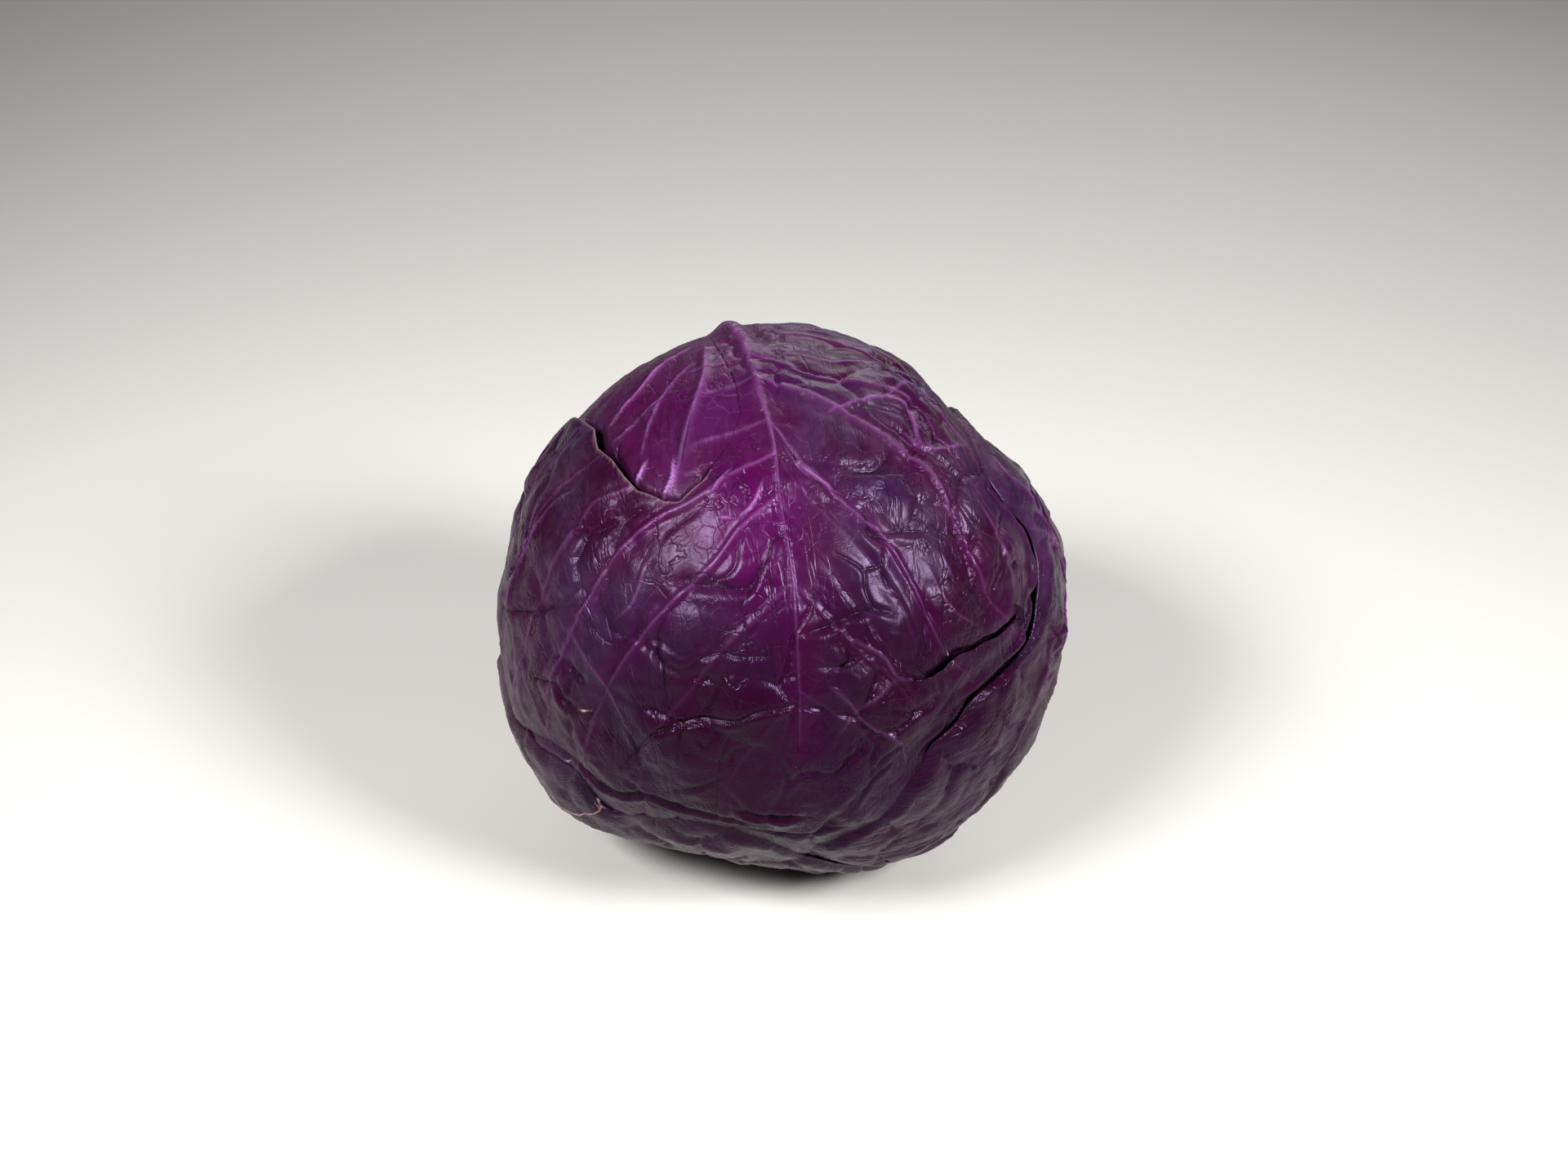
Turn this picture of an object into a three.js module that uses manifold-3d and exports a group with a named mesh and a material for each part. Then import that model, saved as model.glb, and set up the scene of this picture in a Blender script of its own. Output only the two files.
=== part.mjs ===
// A red cabbage head lying on its side, stem end up and away from the front.
// Units are millimetres and +Z is up. The head stands on a small flat spot at z = 0.
// Places on the head are given from the stem: "down" is the angle from the stem end in
// degrees and "round" is the angle about the stem, 0 toward the front (-Y).
import * as THREE from 'three'
import Module from 'manifold-3d'

const wasm = await Module()
wasm.setup()

const HEAD_RADIUS = 82.6
const HEAD_CENTRE = new THREE.Vector3(-0.38, -0.85, 79)
const LEAF_THICKNESS = 0.9
const LEAF_STEP = 1.75
const FLOOR_GAP = 0.7
const STEM_RADIUS = 14.2
const STEM_END = 89
const STEM_ROOT = 60

const radians = (degrees) => degrees * Math.PI / 180

function direction(azimuth, elevation) {
  const a = radians(azimuth)
  const e = radians(elevation)
  return new THREE.Vector3(Math.cos(a) * Math.cos(e), Math.sin(a) * Math.cos(e), Math.sin(e))
}

// The stem axis and the two directions square to it.
const STEM_AXIS = direction(102, 32)
const FRONT = direction(-90, 32)
const ROUND_ZERO = FRONT.clone().addScaledVector(STEM_AXIS, -FRONT.dot(STEM_AXIS)).normalize()
const ROUND_QUARTER = new THREE.Vector3().crossVectors(STEM_AXIS, ROUND_ZERO)

function onHead(down, round) {
  const side = ROUND_ZERO.clone().multiplyScalar(Math.cos(radians(round)))
  side.addScaledVector(ROUND_QUARTER, Math.sin(radians(round)))
  return STEM_AXIS.clone().multiplyScalar(Math.cos(radians(down)))
    .addScaledVector(side, Math.sin(radians(down)))
}

// Form of the head: a ball with broad bulges and hollows, each at an azimuth and elevation
// as seen from the centre, with its height in mm and its width in degrees.
const BULGES = [
  { azimuth: 3, elevation: 4, height: 2.2, width: 20 },
  { azimuth: 22, elevation: 16, height: 1.5, width: 12 },
  { azimuth: 30, elevation: 39, height: -11.0, width: 13 },
  { azimuth: 158, elevation: 32, height: -0.8, width: 16 },
  { azimuth: 180, elevation: 4, height: -1.6, width: 8 },
  { azimuth: 188, elevation: -15, height: 3.6, width: 11 },
  { azimuth: 205, elevation: -34, height: 7.4, width: 13 },
  { azimuth: 252, elevation: -57, height: -5.6, width: 17 },
  { azimuth: 317, elevation: -47, height: 4.6, width: 15 },
  { azimuth: 346, elevation: -21, height: 2.6, width: 14 },
  { azimuth: 60, elevation: -10, height: 2.0, width: 24 },
  { azimuth: 130, elevation: -25, height: -1.8, width: 22 },
].map((bulge) => ({ ...bulge, toward: direction(bulge.azimuth, bulge.elevation) }))

function smoothStep(from, to, value) {
  const t = Math.min(1, Math.max(0, (value - from) / (to - from)))
  return t * t * (3 - 2 * t)
}

function formRadius(toward) {
  let radius = HEAD_RADIUS
  for (const bulge of BULGES) {
    const angle = THREE.MathUtils.radToDeg(Math.acos(Math.min(1, bulge.toward.dot(toward))))
    radius += bulge.height * Math.exp(-0.5 * (angle / bulge.width) ** 2)
  }
  return radius
}

// Distance from the centre to the floor, and how near the form is to it.
function floorRadius(toward) {
  return toward.z < -0.05 ? HEAD_CENTRE.z / -toward.z : Infinity
}

function visibleRadius(toward) {
  return Math.min(formRadius(toward), floorRadius(toward))
}

function clearOfFloor(toward) {
  return 1 - smoothStep(-5, -0.5, formRadius(toward) - floorRadius(toward))
}

// Leaves under the outmost one keep a little more room where the head is pressed flat.
function floorGap(toward, leavesOutside) {
  return FLOOR_GAP * Math.min(2, leavesOutside) * (1 - clearOfFloor(toward))
}

// A leaf is drawn flat, in mm, about its own middle: x goes round the stem and y goes away
// from it. These two functions wrap the drawing on the head and lay a place of the head flat.
function flatFrame(down, round) {
  const middle = onHead(down, round)
  const away = onHead(down + 0.1, round).sub(onHead(down - 0.1, round)).normalize()
  const across = onHead(down, round + 0.1).sub(onHead(down, round - 0.1)).normalize()
  return { middle, away, across }
}

function wrap(frame, x, y) {
  const length = Math.hypot(x, y) + 1e-9
  const angle = length / HEAD_RADIUS
  return frame.middle.clone().multiplyScalar(Math.cos(angle))
    .addScaledVector(frame.across, Math.sin(angle) * x / length)
    .addScaledVector(frame.away, Math.sin(angle) * y / length)
}

function layFlat(frame, toward) {
  const angle = Math.acos(THREE.MathUtils.clamp(toward.dot(frame.middle), -1, 1))
  const x = toward.dot(frame.across)
  const y = toward.dot(frame.away)
  const length = Math.hypot(x, y) + 1e-9
  return [angle * HEAD_RADIUS * x / length, angle * HEAD_RADIUS * y / length]
}

// Smooth curve through points, read at an even fraction of its length.
function curveThrough(points) {
  const curve = new THREE.CatmullRomCurve3(points.map(([x, y]) => new THREE.Vector3(x, y, 0)))
  curve.arcLengthDivisions = 60
  return (fraction) => {
    const point = curve.getPointAt(THREE.MathUtils.clamp(fraction, 0, 1))
    return [point.x, point.y]
  }
}

const MARGIN_WAVE = 0.018

// Side ribs of one half of a leaf, from the base to the tip, made from the midrib and the
// margin: each leaves the midrib and bows toward the tip.
function ribsBetween(midrib, margin, count) {
  const along = curveThrough(midrib)
  const edge = curveThrough(margin)
  const ribs = []
  for (let index = 0; index <= count; index++) {
    const share = index / count
    const start = along(share)
    const rim = edge(1 - (1 - share) ** 1.45)
    const stretch = 1 + MARGIN_WAVE * Math.sin(2.4 * index)
    const end = [start[0] + (rim[0] - start[0]) * stretch, start[1] + (rim[1] - start[1]) * stretch]
    const span = [end[0] - start[0], end[1] - start[1]]
    const bow = -0.1 * (1 - share)
    const turn = Math.sign(end[0] - start[0] || 1)
    const middle = [
      (start[0] + end[0]) / 2 - turn * bow * span[1],
      (start[1] + end[1]) / 2 + turn * bow * span[0],
    ]
    ribs.push([start, middle, end])
  }
  return ribs
}

const fromStem = (frame, places) => places.map(([down, round]) => layFlat(frame, onHead(down, round)))

// The end of a leaf at the stem: an arc round the stem from the midrib to one corner.
const BASE_DOWN = 11.8

function baseArc(frame, midribRound, cornerRound) {
  const shares = [0, 0.25, 0.5, 0.75, 1]
  return fromStem(frame, shares.map((share) => [BASE_DOWN, midribRound + share * (cornerRound - midribRound)]))
}

// The front leaf, the one with the torn window. Its ribs are drawn one by one.
const FRONT_FRAME = flatFrame(80, 0)
const FRONT_TIP = [[-3, 92], [-6, 118], [-6, 156]]
const FRONT_RIGHT_RIBS = [
  baseArc(FRONT_FRAME, 0, 66),
  [[1, -75], [22, -80], [48, -88], [66, -92]],
  [[3, -60], [28, -62], [58, -58], [90, -42]],
  [[4, -46], [15, -47], [27, -46], [41, -37], [51, -21], [62, -5], [73, 8], [98, 26]],
  [[5, -32], [12, -26], [23, -18], [36, -15], [48, -12], [56, 2], [70, 22], [99, 44]],
  [[6, -19], [18, -10], [30, -1], [42, 9], [51, 17], [56, 28], [62, 42], [70, 52], [94, 64]],
  [[7, -2], [12, 12], [22, 26], [32, 36], [38, 46], [42, 55], [50, 69], [84, 88]],
  [[7, 10], [12, 22], [20, 33], [28, 44], [35, 56], [42, 70], [80, 98]],
  [[6, 22], [10, 32], [16, 43], [23, 55], [31, 68], [76, 108]],
  [[5, 46], [9, 52], [14, 58], [22, 68], [31, 76], [66, 124]],
  [[1, 75], [11, 84], [20, 92], [46, 146]],
  FRONT_TIP,
]
const FRONT_LEFT_RIBS = [
  baseArc(FRONT_FRAME, 0, -66),
  [[1, -75], [-22, -80], [-50, -88], [-76, -90]],
  [[3, -60], [-22, -62], [-52, -68], [-98, -70]],
  [[4, -46], [-20, -46], [-50, -50], [-84, -50], [-116, -46]],
  [[5, -32], [-20, -30], [-46, -30], [-66, -27], [-94, -22], [-130, -20]],
  [[6, -19], [-20, -14], [-42, -9], [-56, -10], [-73, -4], [-86, 2], [-106, 6], [-138, 6]],
  [[7, -2], [-16, 3], [-35, 7], [-48, 6], [-64, 15], [-78, 22], [-94, 29], [-136, 32]],
  [[7, 10], [-6, 14], [-17, 18], [-30, 20], [-42, 24], [-63, 36], [-91, 50], [-120, 66]],
  [[6, 22], [-7, 30], [-16, 37], [-27, 42], [-42, 49], [-60, 58], [-103, 84]],
  [[5, 46], [-8, 54], [-20, 60], [-33, 68], [-49, 76], [-86, 108]],
  [[1, 75], [-14, 86], [-30, 98], [-54, 136]],
  FRONT_TIP,
]

const LEFT_FRAME = flatFrame(85, -112)
const RIGHT_FRAME = flatFrame(88, 108)
const BACK_FRAME = flatFrame(108, -176)

function plainLeaf(frame, midribPlaces, rightPlaces, leftPlaces, count) {
  const midrib = fromStem(frame, midribPlaces)
  const half = (places) => {
    const ribs = ribsBetween(midrib, fromStem(frame, places), count)
    ribs[0] = baseArc(frame, midribPlaces[0][1], places[0][1])
    return ribs
  }
  return { frame, right: half(rightPlaces), left: half(leftPlaces) }
}

// Leaves from the inmost to the outmost. Midribs and margins of the plain ones are places
// on the head, [down, round], from the stem to the tip.
const LEAVES = [
  {
    name: 'leaf_left', colour: 0x4a2b49, midribHeight: 3.6,
    ...plainLeaf(LEFT_FRAME,
      [[BASE_DOWN, -112], [40, -113], [80, -114], [115, -112], [140, -108]],
      [[BASE_DOWN, -62], [30, -66], [55, -68], [80, -72], [105, -72], [130, -80], [150, -100], [154, -118]],
      [[BASE_DOWN, -172], [30, -178], [60, -176], [90, -170], [120, -160], [144, -140], [154, -118]], 7),
  },
  {
    name: 'leaf_front', colour: 0x4f2149, midribHeight: 3.2,
    frame: FRONT_FRAME, right: FRONT_RIGHT_RIBS, left: FRONT_LEFT_RIBS,
  },
  {
    name: 'leaf_right', colour: 0x4d2b4d, midribHeight: 4.0,
    ...plainLeaf(RIGHT_FRAME,
      [[BASE_DOWN, 110], [40, 112], [80, 112], [115, 108], [150, 100]],
      [[BASE_DOWN, 172], [30, 178], [60, 176], [90, 166], [120, 158], [142, 152], [155, 148], [162, 140]],
      [[BASE_DOWN, 70], [30, 72], [52, 65], [70, 53], [76, 48], [83, 50.5], [88, 50.5], [93, 54], [95, 60],
        [97, 65], [98.5, 69], [103, 68.5], [106, 71], [112, 68], [116, 69.5], [120, 71], [122, 67], [125, 65],
        [128, 61], [132, 56], [136, 51], [138, 50], [142, 49], [143, 46], [146, 44], [149, 45], [154, 43],
        [160, 45], [166, 50], [171, 66], [173, 95], [170, 125], [162, 140]], 8),
  },
  {
    name: 'leaf_back', colour: 0x46263f, midribHeight: 4.8,
    ...plainLeaf(BACK_FRAME,
      [[BASE_DOWN, -176], [50, -178], [90, -179], [130, 180], [145, 178], [153, 170]],
      [[BASE_DOWN, -238], [30, -246], [60, -246], [90, -255], [109, -267], [120, -268], [130, -269],
        [138, -264], [146, -246], [153, -235], [158, -218], [160, -200]],
      [[BASE_DOWN, -118], [35, -112], [60, -102], [85, -93], [100, -89], [107, -87], [113, -82],
        [119, -76], [129, -73], [136, -69], [142, -61], [150, -53], [158, -43], [164, -41], [169, -48],
        [174, -75], [176, -150], [170, 175], [160, 160]], 9),
  },
]

// Cuts in the front leaf, drawn flat in the leaf's own frame: the torn window and a slit.
const WINDOW = [
  [-7, -84], [-6, -66], [-4, -48], [-2, -34], [0, -20], [0, -7], [-4, 2], [-10, 9], [-13, 12.5],
  [-18, 15], [-21, 17], [-25, 15.5], [-28, 12.5], [-32, 9], [-35, 3], [-38, -5], [-42.5, -13],
  [-43, -22], [-50, -36], [-57, -50], [-66, -60], [-66, -72], [-50, -86], [-28, -90],
]
const SLIT = [
  [37, 75.6], [46, 73.3], [54.6, 67.3], [65.6, 63.3], [76.6, 57.3], [83, 53.2], [84, 54.4],
  [77.6, 58.7], [66.4, 64.7], [55.4, 68.9], [46.3, 74.9], [37.5, 76.6],
]

function bladeRows({ right, left }) {
  // Rows across the blade, the same on both halves: on each rib, then evenly spaced to the
  // next one, closer where the margin is long.
  const rows = []
  const last = right.length - 1
  for (let index = 0; index < last; index++) {
    const edges = [right, left].map((ribs) => {
      const [ax, ay] = ribs[index].at(-1)
      const [bx, by] = ribs[index + 1].at(-1)
      return Math.hypot(bx - ax, by - ay)
    })
    const parts = Math.max(index > 0 ? 4 : 2, 2 * Math.round(Math.max(...edges) / ROW_SPACING / 2))
    for (let part = 0; part < parts; part++) {
      const share = part / parts
      rows.push({ at: index + share, crest: part === 0 && index > 0 ? 1 : 0, pillow: Math.sin(Math.PI * share) })
    }
  }
  rows.push({ at: last, crest: 1, pillow: 0 })
  return rows
}

function blend(before, from, to, after, t) {
  // Catmull-Rom blend of four neighbouring ribs at the same share of their length.
  return [0, 1].map((axis) => {
    const a = 2 * from[axis]
    const b = to[axis] - before[axis]
    const c = 2 * before[axis] - 5 * from[axis] + 4 * to[axis] - after[axis]
    const d = -before[axis] + 3 * from[axis] - 3 * to[axis] + after[axis]
    return 0.5 * (a + b * t + c * t * t + d * t * t * t)
  })
}

function halfSurface(ribs) {
  const curves = ribs.map(curveThrough)
  const last = curves.length - 1
  return (at, share) => {
    const index = Math.min(Math.floor(at), last - 1)
    const near = (offset) => curves[THREE.MathUtils.clamp(index + offset, 0, last)](share)
    return blend(near(-1), near(0), near(1), near(2), at - index)
  }
}

const RIB_HEIGHT = 1.5
const PILLOW_HEIGHT = 1.1
const MARGIN_LIFT = 0.4
const INNER_FACE_RELIEF = 0.45
const MIDRIB_STEPS = [0, 0.5, 1]
const BLADE_STEPS = 9
const ROW_SPACING = 11

function midribHalfWidth(share) {
  return 9 * Math.exp(-5.2 * share) + 1.6
}

// Height of the midrib: tall at the base, a low ridge toward the tip.
function midribHeight(leaf, share) {
  return leaf.midribHeight * Math.exp(-3.4 * share) + 0.25
}

function leafOutline(leaf) {
  const steps = 6
  const points = []
  const right = halfSurface(leaf.right)
  const left = halfSurface(leaf.left)
  const rightLast = leaf.right.length - 1
  const leftLast = leaf.left.length - 1
  for (let i = 0; i <= rightLast * steps; i++) points.push(right(i / steps, 1))
  for (let i = leftLast * steps - 1; i >= 0; i--) points.push(left(i / steps, 1))
  for (const share of [0.66, 0.33, 0]) points.push(left(0, share))
  for (const share of [0.33, 0.66]) points.push(right(0, share))
  return points
}

function outsideDistance(outline, [x, y]) {
  // Distance to the outline in mm, negative inside it.
  let inside = false
  let nearest = Infinity
  for (let i = 0, j = outline.length - 1; i < outline.length; j = i++) {
    const [ax, ay] = outline[j]
    const [bx, by] = outline[i]
    if ((ay > y) !== (by > y) && x < (bx - ax) * (y - ay) / (by - ay) + ax) inside = !inside
    const length = (bx - ax) ** 2 + (by - ay) ** 2 || 1e-9
    const t = THREE.MathUtils.clamp(((x - ax) * (bx - ax) + (y - ay) * (by - ay)) / length, 0, 1)
    nearest = Math.min(nearest, Math.hypot(x - ax - t * (bx - ax), y - ay - t * (by - ay)))
  }
  return inside ? -nearest : nearest
}

for (const leaf of LEAVES) leaf.outline = leafOutline(leaf)

// How far a leaf above covers a place: 1 under it and near its margin, 0 well clear of it.
// The distances in mm from the margin are where it is still full and where it has gone.
const LEAF_COVER = [9, 32]
const INNER_COVER = [14, 40]

function coverOf(leaf, toward, full, none) {
  const outside = outsideDistance(leaf.outline, layFlat(leaf.frame, toward))
  return 1 - smoothStep(full, none, outside)
}

function closedMesh(points, triangles, name, colour, roughness) {
  const geometry = new THREE.BufferGeometry()
  geometry.setAttribute('position', new THREE.Float32BufferAttribute(points.flatMap((p) => [p.x, p.y, p.z]), 3))
  geometry.setIndex(triangles.flat())
  return finishedMesh(geometry, name, colour, roughness)
}

function finishedMesh(geometry, name, colour, roughness) {
  geometry.computeVertexNormals()
  const material = new THREE.MeshStandardMaterial({ color: colour, roughness, metalness: 0 })
  material.name = name
  const mesh = new THREE.Mesh(geometry, material)
  mesh.name = name
  return mesh
}

function buildLeaf(leaf, above) {
  const outer = []
  const inner = []
  const place = (flat, relief) => {
    const toward = wrap(leaf.frame, flat[0], flat[1])
    const covers = above.map((other) => coverOf(other, toward, ...LEAF_COVER))
    const depth = covers.reduce((sum, cover) => sum + cover * LEAF_STEP, 0) + floorGap(toward, above.length)
    const bare = covers.reduce((rest, cover) => rest * (1 - cover), 1) * clearOfFloor(toward)
    const radius = visibleRadius(toward) - depth
    outer.push(toward.clone().multiplyScalar(radius + relief * bare).add(HEAD_CENTRE))
    inner.push(toward.clone().multiplyScalar(radius + relief * bare * INNER_FACE_RELIEF - LEAF_THICKNESS).add(HEAD_CENTRE))
    return outer.length - 1
  }
  const triangles = []
  const lastRow = []
  const midribRow = []
  const rows = bladeRows(leaf)
  const columns = MIDRIB_STEPS.length + BLADE_STEPS
  for (const side of ['right', 'left']) {
    const ribs = leaf[side]
    const surface = halfSurface(ribs)
    const last = ribs.length - 1
    const grid = rows.map(({ at, crest, pillow }, index) => {
      const share = at / last
      const start = surface(at, 0)
      const end = surface(at, 1)
      const reach = Math.hypot(end[0] - start[0], end[1] - start[1])
      const foot = Math.min(0.3, midribHalfWidth(share) / reach)
      const row = []
      for (let column = 0; column < columns; column++) {
        const isTip = at === last
        if (isTip && side === 'left') {
          row.push(lastRow[column])
          continue
        }
        if (column === 0 && side === 'left') {
          row.push(midribRow[index])
          continue
        }
        const across = column < MIDRIB_STEPS.length
          ? foot * MIDRIB_STEPS[column]
          : foot + (1 - foot) * (column - MIDRIB_STEPS.length + 1) / BLADE_STEPS
        const midrib = isTip ? 0.4 * (1 - across) : midribHeight(leaf, share) * [1, 0.62, 0.06][column] || 0
        const rib = crest * RIB_HEIGHT * Math.max(0, 1 - across) ** 0.7 * Math.min(1, across * 8)
        const fullness = pillow * PILLOW_HEIGHT * Math.sin(Math.PI * Math.min(1, across))
        const wave = 0.55 + 0.45 * Math.sin(4.1 * at + (side === 'left' ? 2 : 0))
        const lift = MARGIN_LIFT * wave * smoothStep(0.86, 1, across)
        const vertex = place(surface(at, across), Math.max(midrib, rib + fullness) + lift)
        row.push(vertex)
        if (column === 0) midribRow.push(vertex)
        if (isTip) lastRow.push(vertex)
      }
      return row
    })
    for (let i = 0; i < grid.length - 1; i++) {
      for (let j = 0; j < columns - 1; j++) {
        const [a, b, c, d] = [grid[i][j], grid[i][j + 1], grid[i + 1][j + 1], grid[i + 1][j]]
        const pair = (i + j) % 2 ? [[a, b, c], [a, c, d]] : [[a, b, d], [b, c, d]]
        for (const [p, q, r] of pair) triangles.push(side === 'right' ? [p, q, r] : [p, r, q])
      }
    }
  }
  return { outer, inner, triangles }
}

function sealed(leaf, { outer, inner, triangles }) {
  // Both faces have the same triangles; the open edges between them become the rim.
  const kept = triangles.filter(([a, b, c]) => a !== b && b !== c && a !== c)
  const edges = new Map()
  for (const [a, b, c] of kept) {
    for (const [p, q] of [[a, b], [b, c], [c, a]]) {
      if (edges.has(`${q}_${p}`)) edges.delete(`${q}_${p}`)
      else edges.set(`${p}_${q}`, [p, q])
    }
  }
  const count = outer.length
  const faces = [...kept, ...kept.map(([a, b, c]) => [a + count, c + count, b + count])]
  for (const [p, q] of edges.values()) faces.push([q, p, p + count], [q, p + count, q + count])
  return { points: [...outer, ...inner], faces: outward(outer, inner, faces) }
}

function outward(outer, inner, faces) {
  // The outer face must look away from the head's centre; turn every triangle if it does not.
  const [a, b, c] = faces[0].map((index) => outer[index])
  const normal = b.clone().sub(a).cross(c.clone().sub(a))
  const good = normal.dot(a.clone().sub(HEAD_CENTRE)) > 0
  return good ? faces : faces.map(([p, q, r]) => [p, r, q])
}

function asManifold(points, faces) {
  return new wasm.Manifold(new wasm.Mesh({
    numProp: 3,
    vertProperties: new Float32Array(points.flatMap((p) => [p.x, p.y, p.z])),
    triVerts: new Uint32Array(faces.flat()),
  }))
}

function asGeometry(solid) {
  const mesh = solid.getMesh()
  const geometry = new THREE.BufferGeometry()
  geometry.setAttribute('position', new THREE.Float32BufferAttribute(mesh.vertProperties, 3))
  geometry.setIndex([...mesh.triVerts])
  return geometry
}

// A cutter goes straight through the leaf along lines from the head's centre.
const CUT_FROM = 62
const CUT_TO = 112

function cutter(frame, drawing) {
  const flat = drawing.map(([x, y]) => new THREE.Vector2(x, y))
  if (THREE.ShapeUtils.isClockWise(flat)) flat.reverse()
  const count = flat.length
  const points = []
  for (const radius of [CUT_FROM, CUT_TO]) {
    for (const { x, y } of flat) points.push(wrap(frame, x, y).multiplyScalar(radius).add(HEAD_CENTRE))
  }
  const caps = THREE.ShapeUtils.triangulateShape(flat, [])
  const faces = []
  for (const [a, b, c] of caps) faces.push([a + count, b + count, c + count], [a, c, b])
  for (let i = 0; i < count; i++) {
    const j = (i + 1) % count
    faces.push([i, j, j + count], [i, j + count, i + count])
  }
  const sense = frame.across.clone().cross(frame.away).dot(frame.middle)
  return asManifold(points, sense > 0 ? faces : faces.map(([a, b, c]) => [a, c, b]))
}

// The stem: a stub cut across, a little wider at its root, with an uneven cut face.
function stemPoints(radiusAt, levels, around) {
  const points = []
  for (const level of levels) {
    for (let i = 0; i < around; i++) {
      const angle = 360 * i / around
      const side = ROUND_ZERO.clone().multiplyScalar(Math.cos(radians(angle)))
        .addScaledVector(ROUND_QUARTER, Math.sin(radians(angle)))
      const point = STEM_AXIS.clone().multiplyScalar(level).addScaledVector(side, radiusAt(level, angle))
      points.push(point.add(HEAD_CENTRE))
    }
  }
  return points
}

function tube(rings, around) {
  const faces = []
  for (let k = 0; k < rings - 1; k++) {
    for (let i = 0; i < around; i++) {
      const a = k * around + i
      const b = k * around + (i + 1) % around
      faces.push([a, b, b + around], [a, b + around, a + around])
    }
  }
  for (let i = 1; i < around - 1; i++) {
    faces.push([0, i + 1, i])
    const top = (rings - 1) * around
    faces.push([top, top + i, top + i + 1])
  }
  return faces
}

const STEM_AROUND = 28
const STEM_LEVELS = [STEM_ROOT, 74, 80, 84, 88, STEM_END - 0.6, STEM_END]

function stemRadius(level, angle) {
  const scars = 0.35 * Math.cos(radians(5 * angle + 20)) * smoothStep(74, 84, level)
  const bevel = level >= STEM_END - 0.1 ? -1.2 : 0
  return STEM_RADIUS - 0.9 * smoothStep(78, STEM_END, level) + scars + bevel
}

function buildStem() {
  const points = stemPoints(stemRadius, STEM_LEVELS, STEM_AROUND)
  return { points, faces: tube(STEM_LEVELS.length, STEM_AROUND) }
}

// The packed inner leaves, a closed ball under every outer leaf, with a socket for the stem.
const INNER_ROWS = 24
const INNER_COLUMNS = 46
const INNER_GAP = 0.45
const SOCKET_GAP = 0.75
const SOCKET_DEPTH = 0.5
const SOCKET_SIDES = 32

function buildInnerHead() {
  const points = []
  const shell = (down, round) => {
    const toward = onHead(down, round)
    const covers = LEAVES.reduce((sum, leaf) => sum + LEAF_STEP * coverOf(leaf, toward, ...INNER_COVER), 0)
    const depth = covers + floorGap(toward, LEAVES.length)
    return toward.multiplyScalar(visibleRadius(toward) - depth - INNER_GAP).add(HEAD_CENTRE)
  }
  points.push(shell(0, 0))
  for (let i = 1; i < INNER_ROWS; i++) {
    for (let j = 0; j < INNER_COLUMNS; j++) points.push(shell(180 * i / INNER_ROWS, 360 * j / INNER_COLUMNS))
  }
  points.push(shell(180, 0))
  const faces = []
  const end = points.length - 1
  const at = (i, j) => 1 + (i - 1) * INNER_COLUMNS + (j % INNER_COLUMNS)
  for (let j = 0; j < INNER_COLUMNS; j++) {
    faces.push([0, at(1, j), at(1, j + 1)])
    faces.push([end, at(INNER_ROWS - 1, j + 1), at(INNER_ROWS - 1, j)])
    for (let i = 1; i < INNER_ROWS - 1; i++) {
      const [a, b, c, d] = [at(i, j), at(i + 1, j), at(i + 1, j + 1), at(i, j + 1)]
      if ((i + j) % 2) faces.push([a, b, c], [a, c, d])
      else faces.push([a, b, d], [b, c, d])
    }
  }
  const wall = stemPoints(() => STEM_RADIUS + SOCKET_GAP, [STEM_ROOT - SOCKET_DEPTH, CUT_TO], SOCKET_SIDES)
  const socket = asManifold(wall, tube(2, SOCKET_SIDES))
  return asGeometry(asManifold(points, faces).subtract(socket))
}

const cabbage = new THREE.Group()
cabbage.name = 'cabbage_head'

const stem = buildStem()
cabbage.add(closedMesh(stem.points, stem.faces, 'stem', 0xb9a58c, 0.8))
cabbage.add(finishedMesh(buildInnerHead(), 'inner_head', 0x5b2456, 0.4))

const CUTS = { leaf_front: [WINDOW, SLIT] }
LEAVES.forEach((leaf, index) => {
  const { points, faces } = sealed(leaf, buildLeaf(leaf, LEAVES.slice(index + 1)))
  let solid = asManifold(points, faces)
  for (const drawing of CUTS[leaf.name] || []) solid = solid.subtract(cutter(leaf.frame, drawing))
  cabbage.add(finishedMesh(asGeometry(solid), leaf.name, leaf.colour, 0.38))
})

export default cabbage
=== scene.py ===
import math

import bpy
import numpy as np
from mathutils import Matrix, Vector


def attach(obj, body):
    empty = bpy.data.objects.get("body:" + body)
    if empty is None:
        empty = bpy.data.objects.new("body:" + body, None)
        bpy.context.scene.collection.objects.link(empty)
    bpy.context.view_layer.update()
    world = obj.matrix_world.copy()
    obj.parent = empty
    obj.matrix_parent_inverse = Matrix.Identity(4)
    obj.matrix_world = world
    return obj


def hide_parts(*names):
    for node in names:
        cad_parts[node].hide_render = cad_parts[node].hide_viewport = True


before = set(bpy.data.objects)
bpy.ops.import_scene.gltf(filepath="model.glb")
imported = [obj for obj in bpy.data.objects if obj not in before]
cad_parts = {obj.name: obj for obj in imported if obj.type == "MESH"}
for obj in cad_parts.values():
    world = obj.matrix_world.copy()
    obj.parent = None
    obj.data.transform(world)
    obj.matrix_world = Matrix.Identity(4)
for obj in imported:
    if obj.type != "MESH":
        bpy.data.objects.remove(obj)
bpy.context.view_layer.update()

# Form of the head
# A red cabbage grows as a ball of leaves wrapped round one stem. Places on it are told from
# the stem: "down" is the angle from the stem end and "round" the angle about the stem,
# 0 toward the viewer. Lengths in this file are millimetres until a mesh is made.
MM = 0.001
HEAD_RADIUS = 82.6
HEAD_CENTRE = np.array([-0.38, -0.85, 79.0])
LEAF_STEP = 1.75
FLOOR_GAP = 0.2


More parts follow.
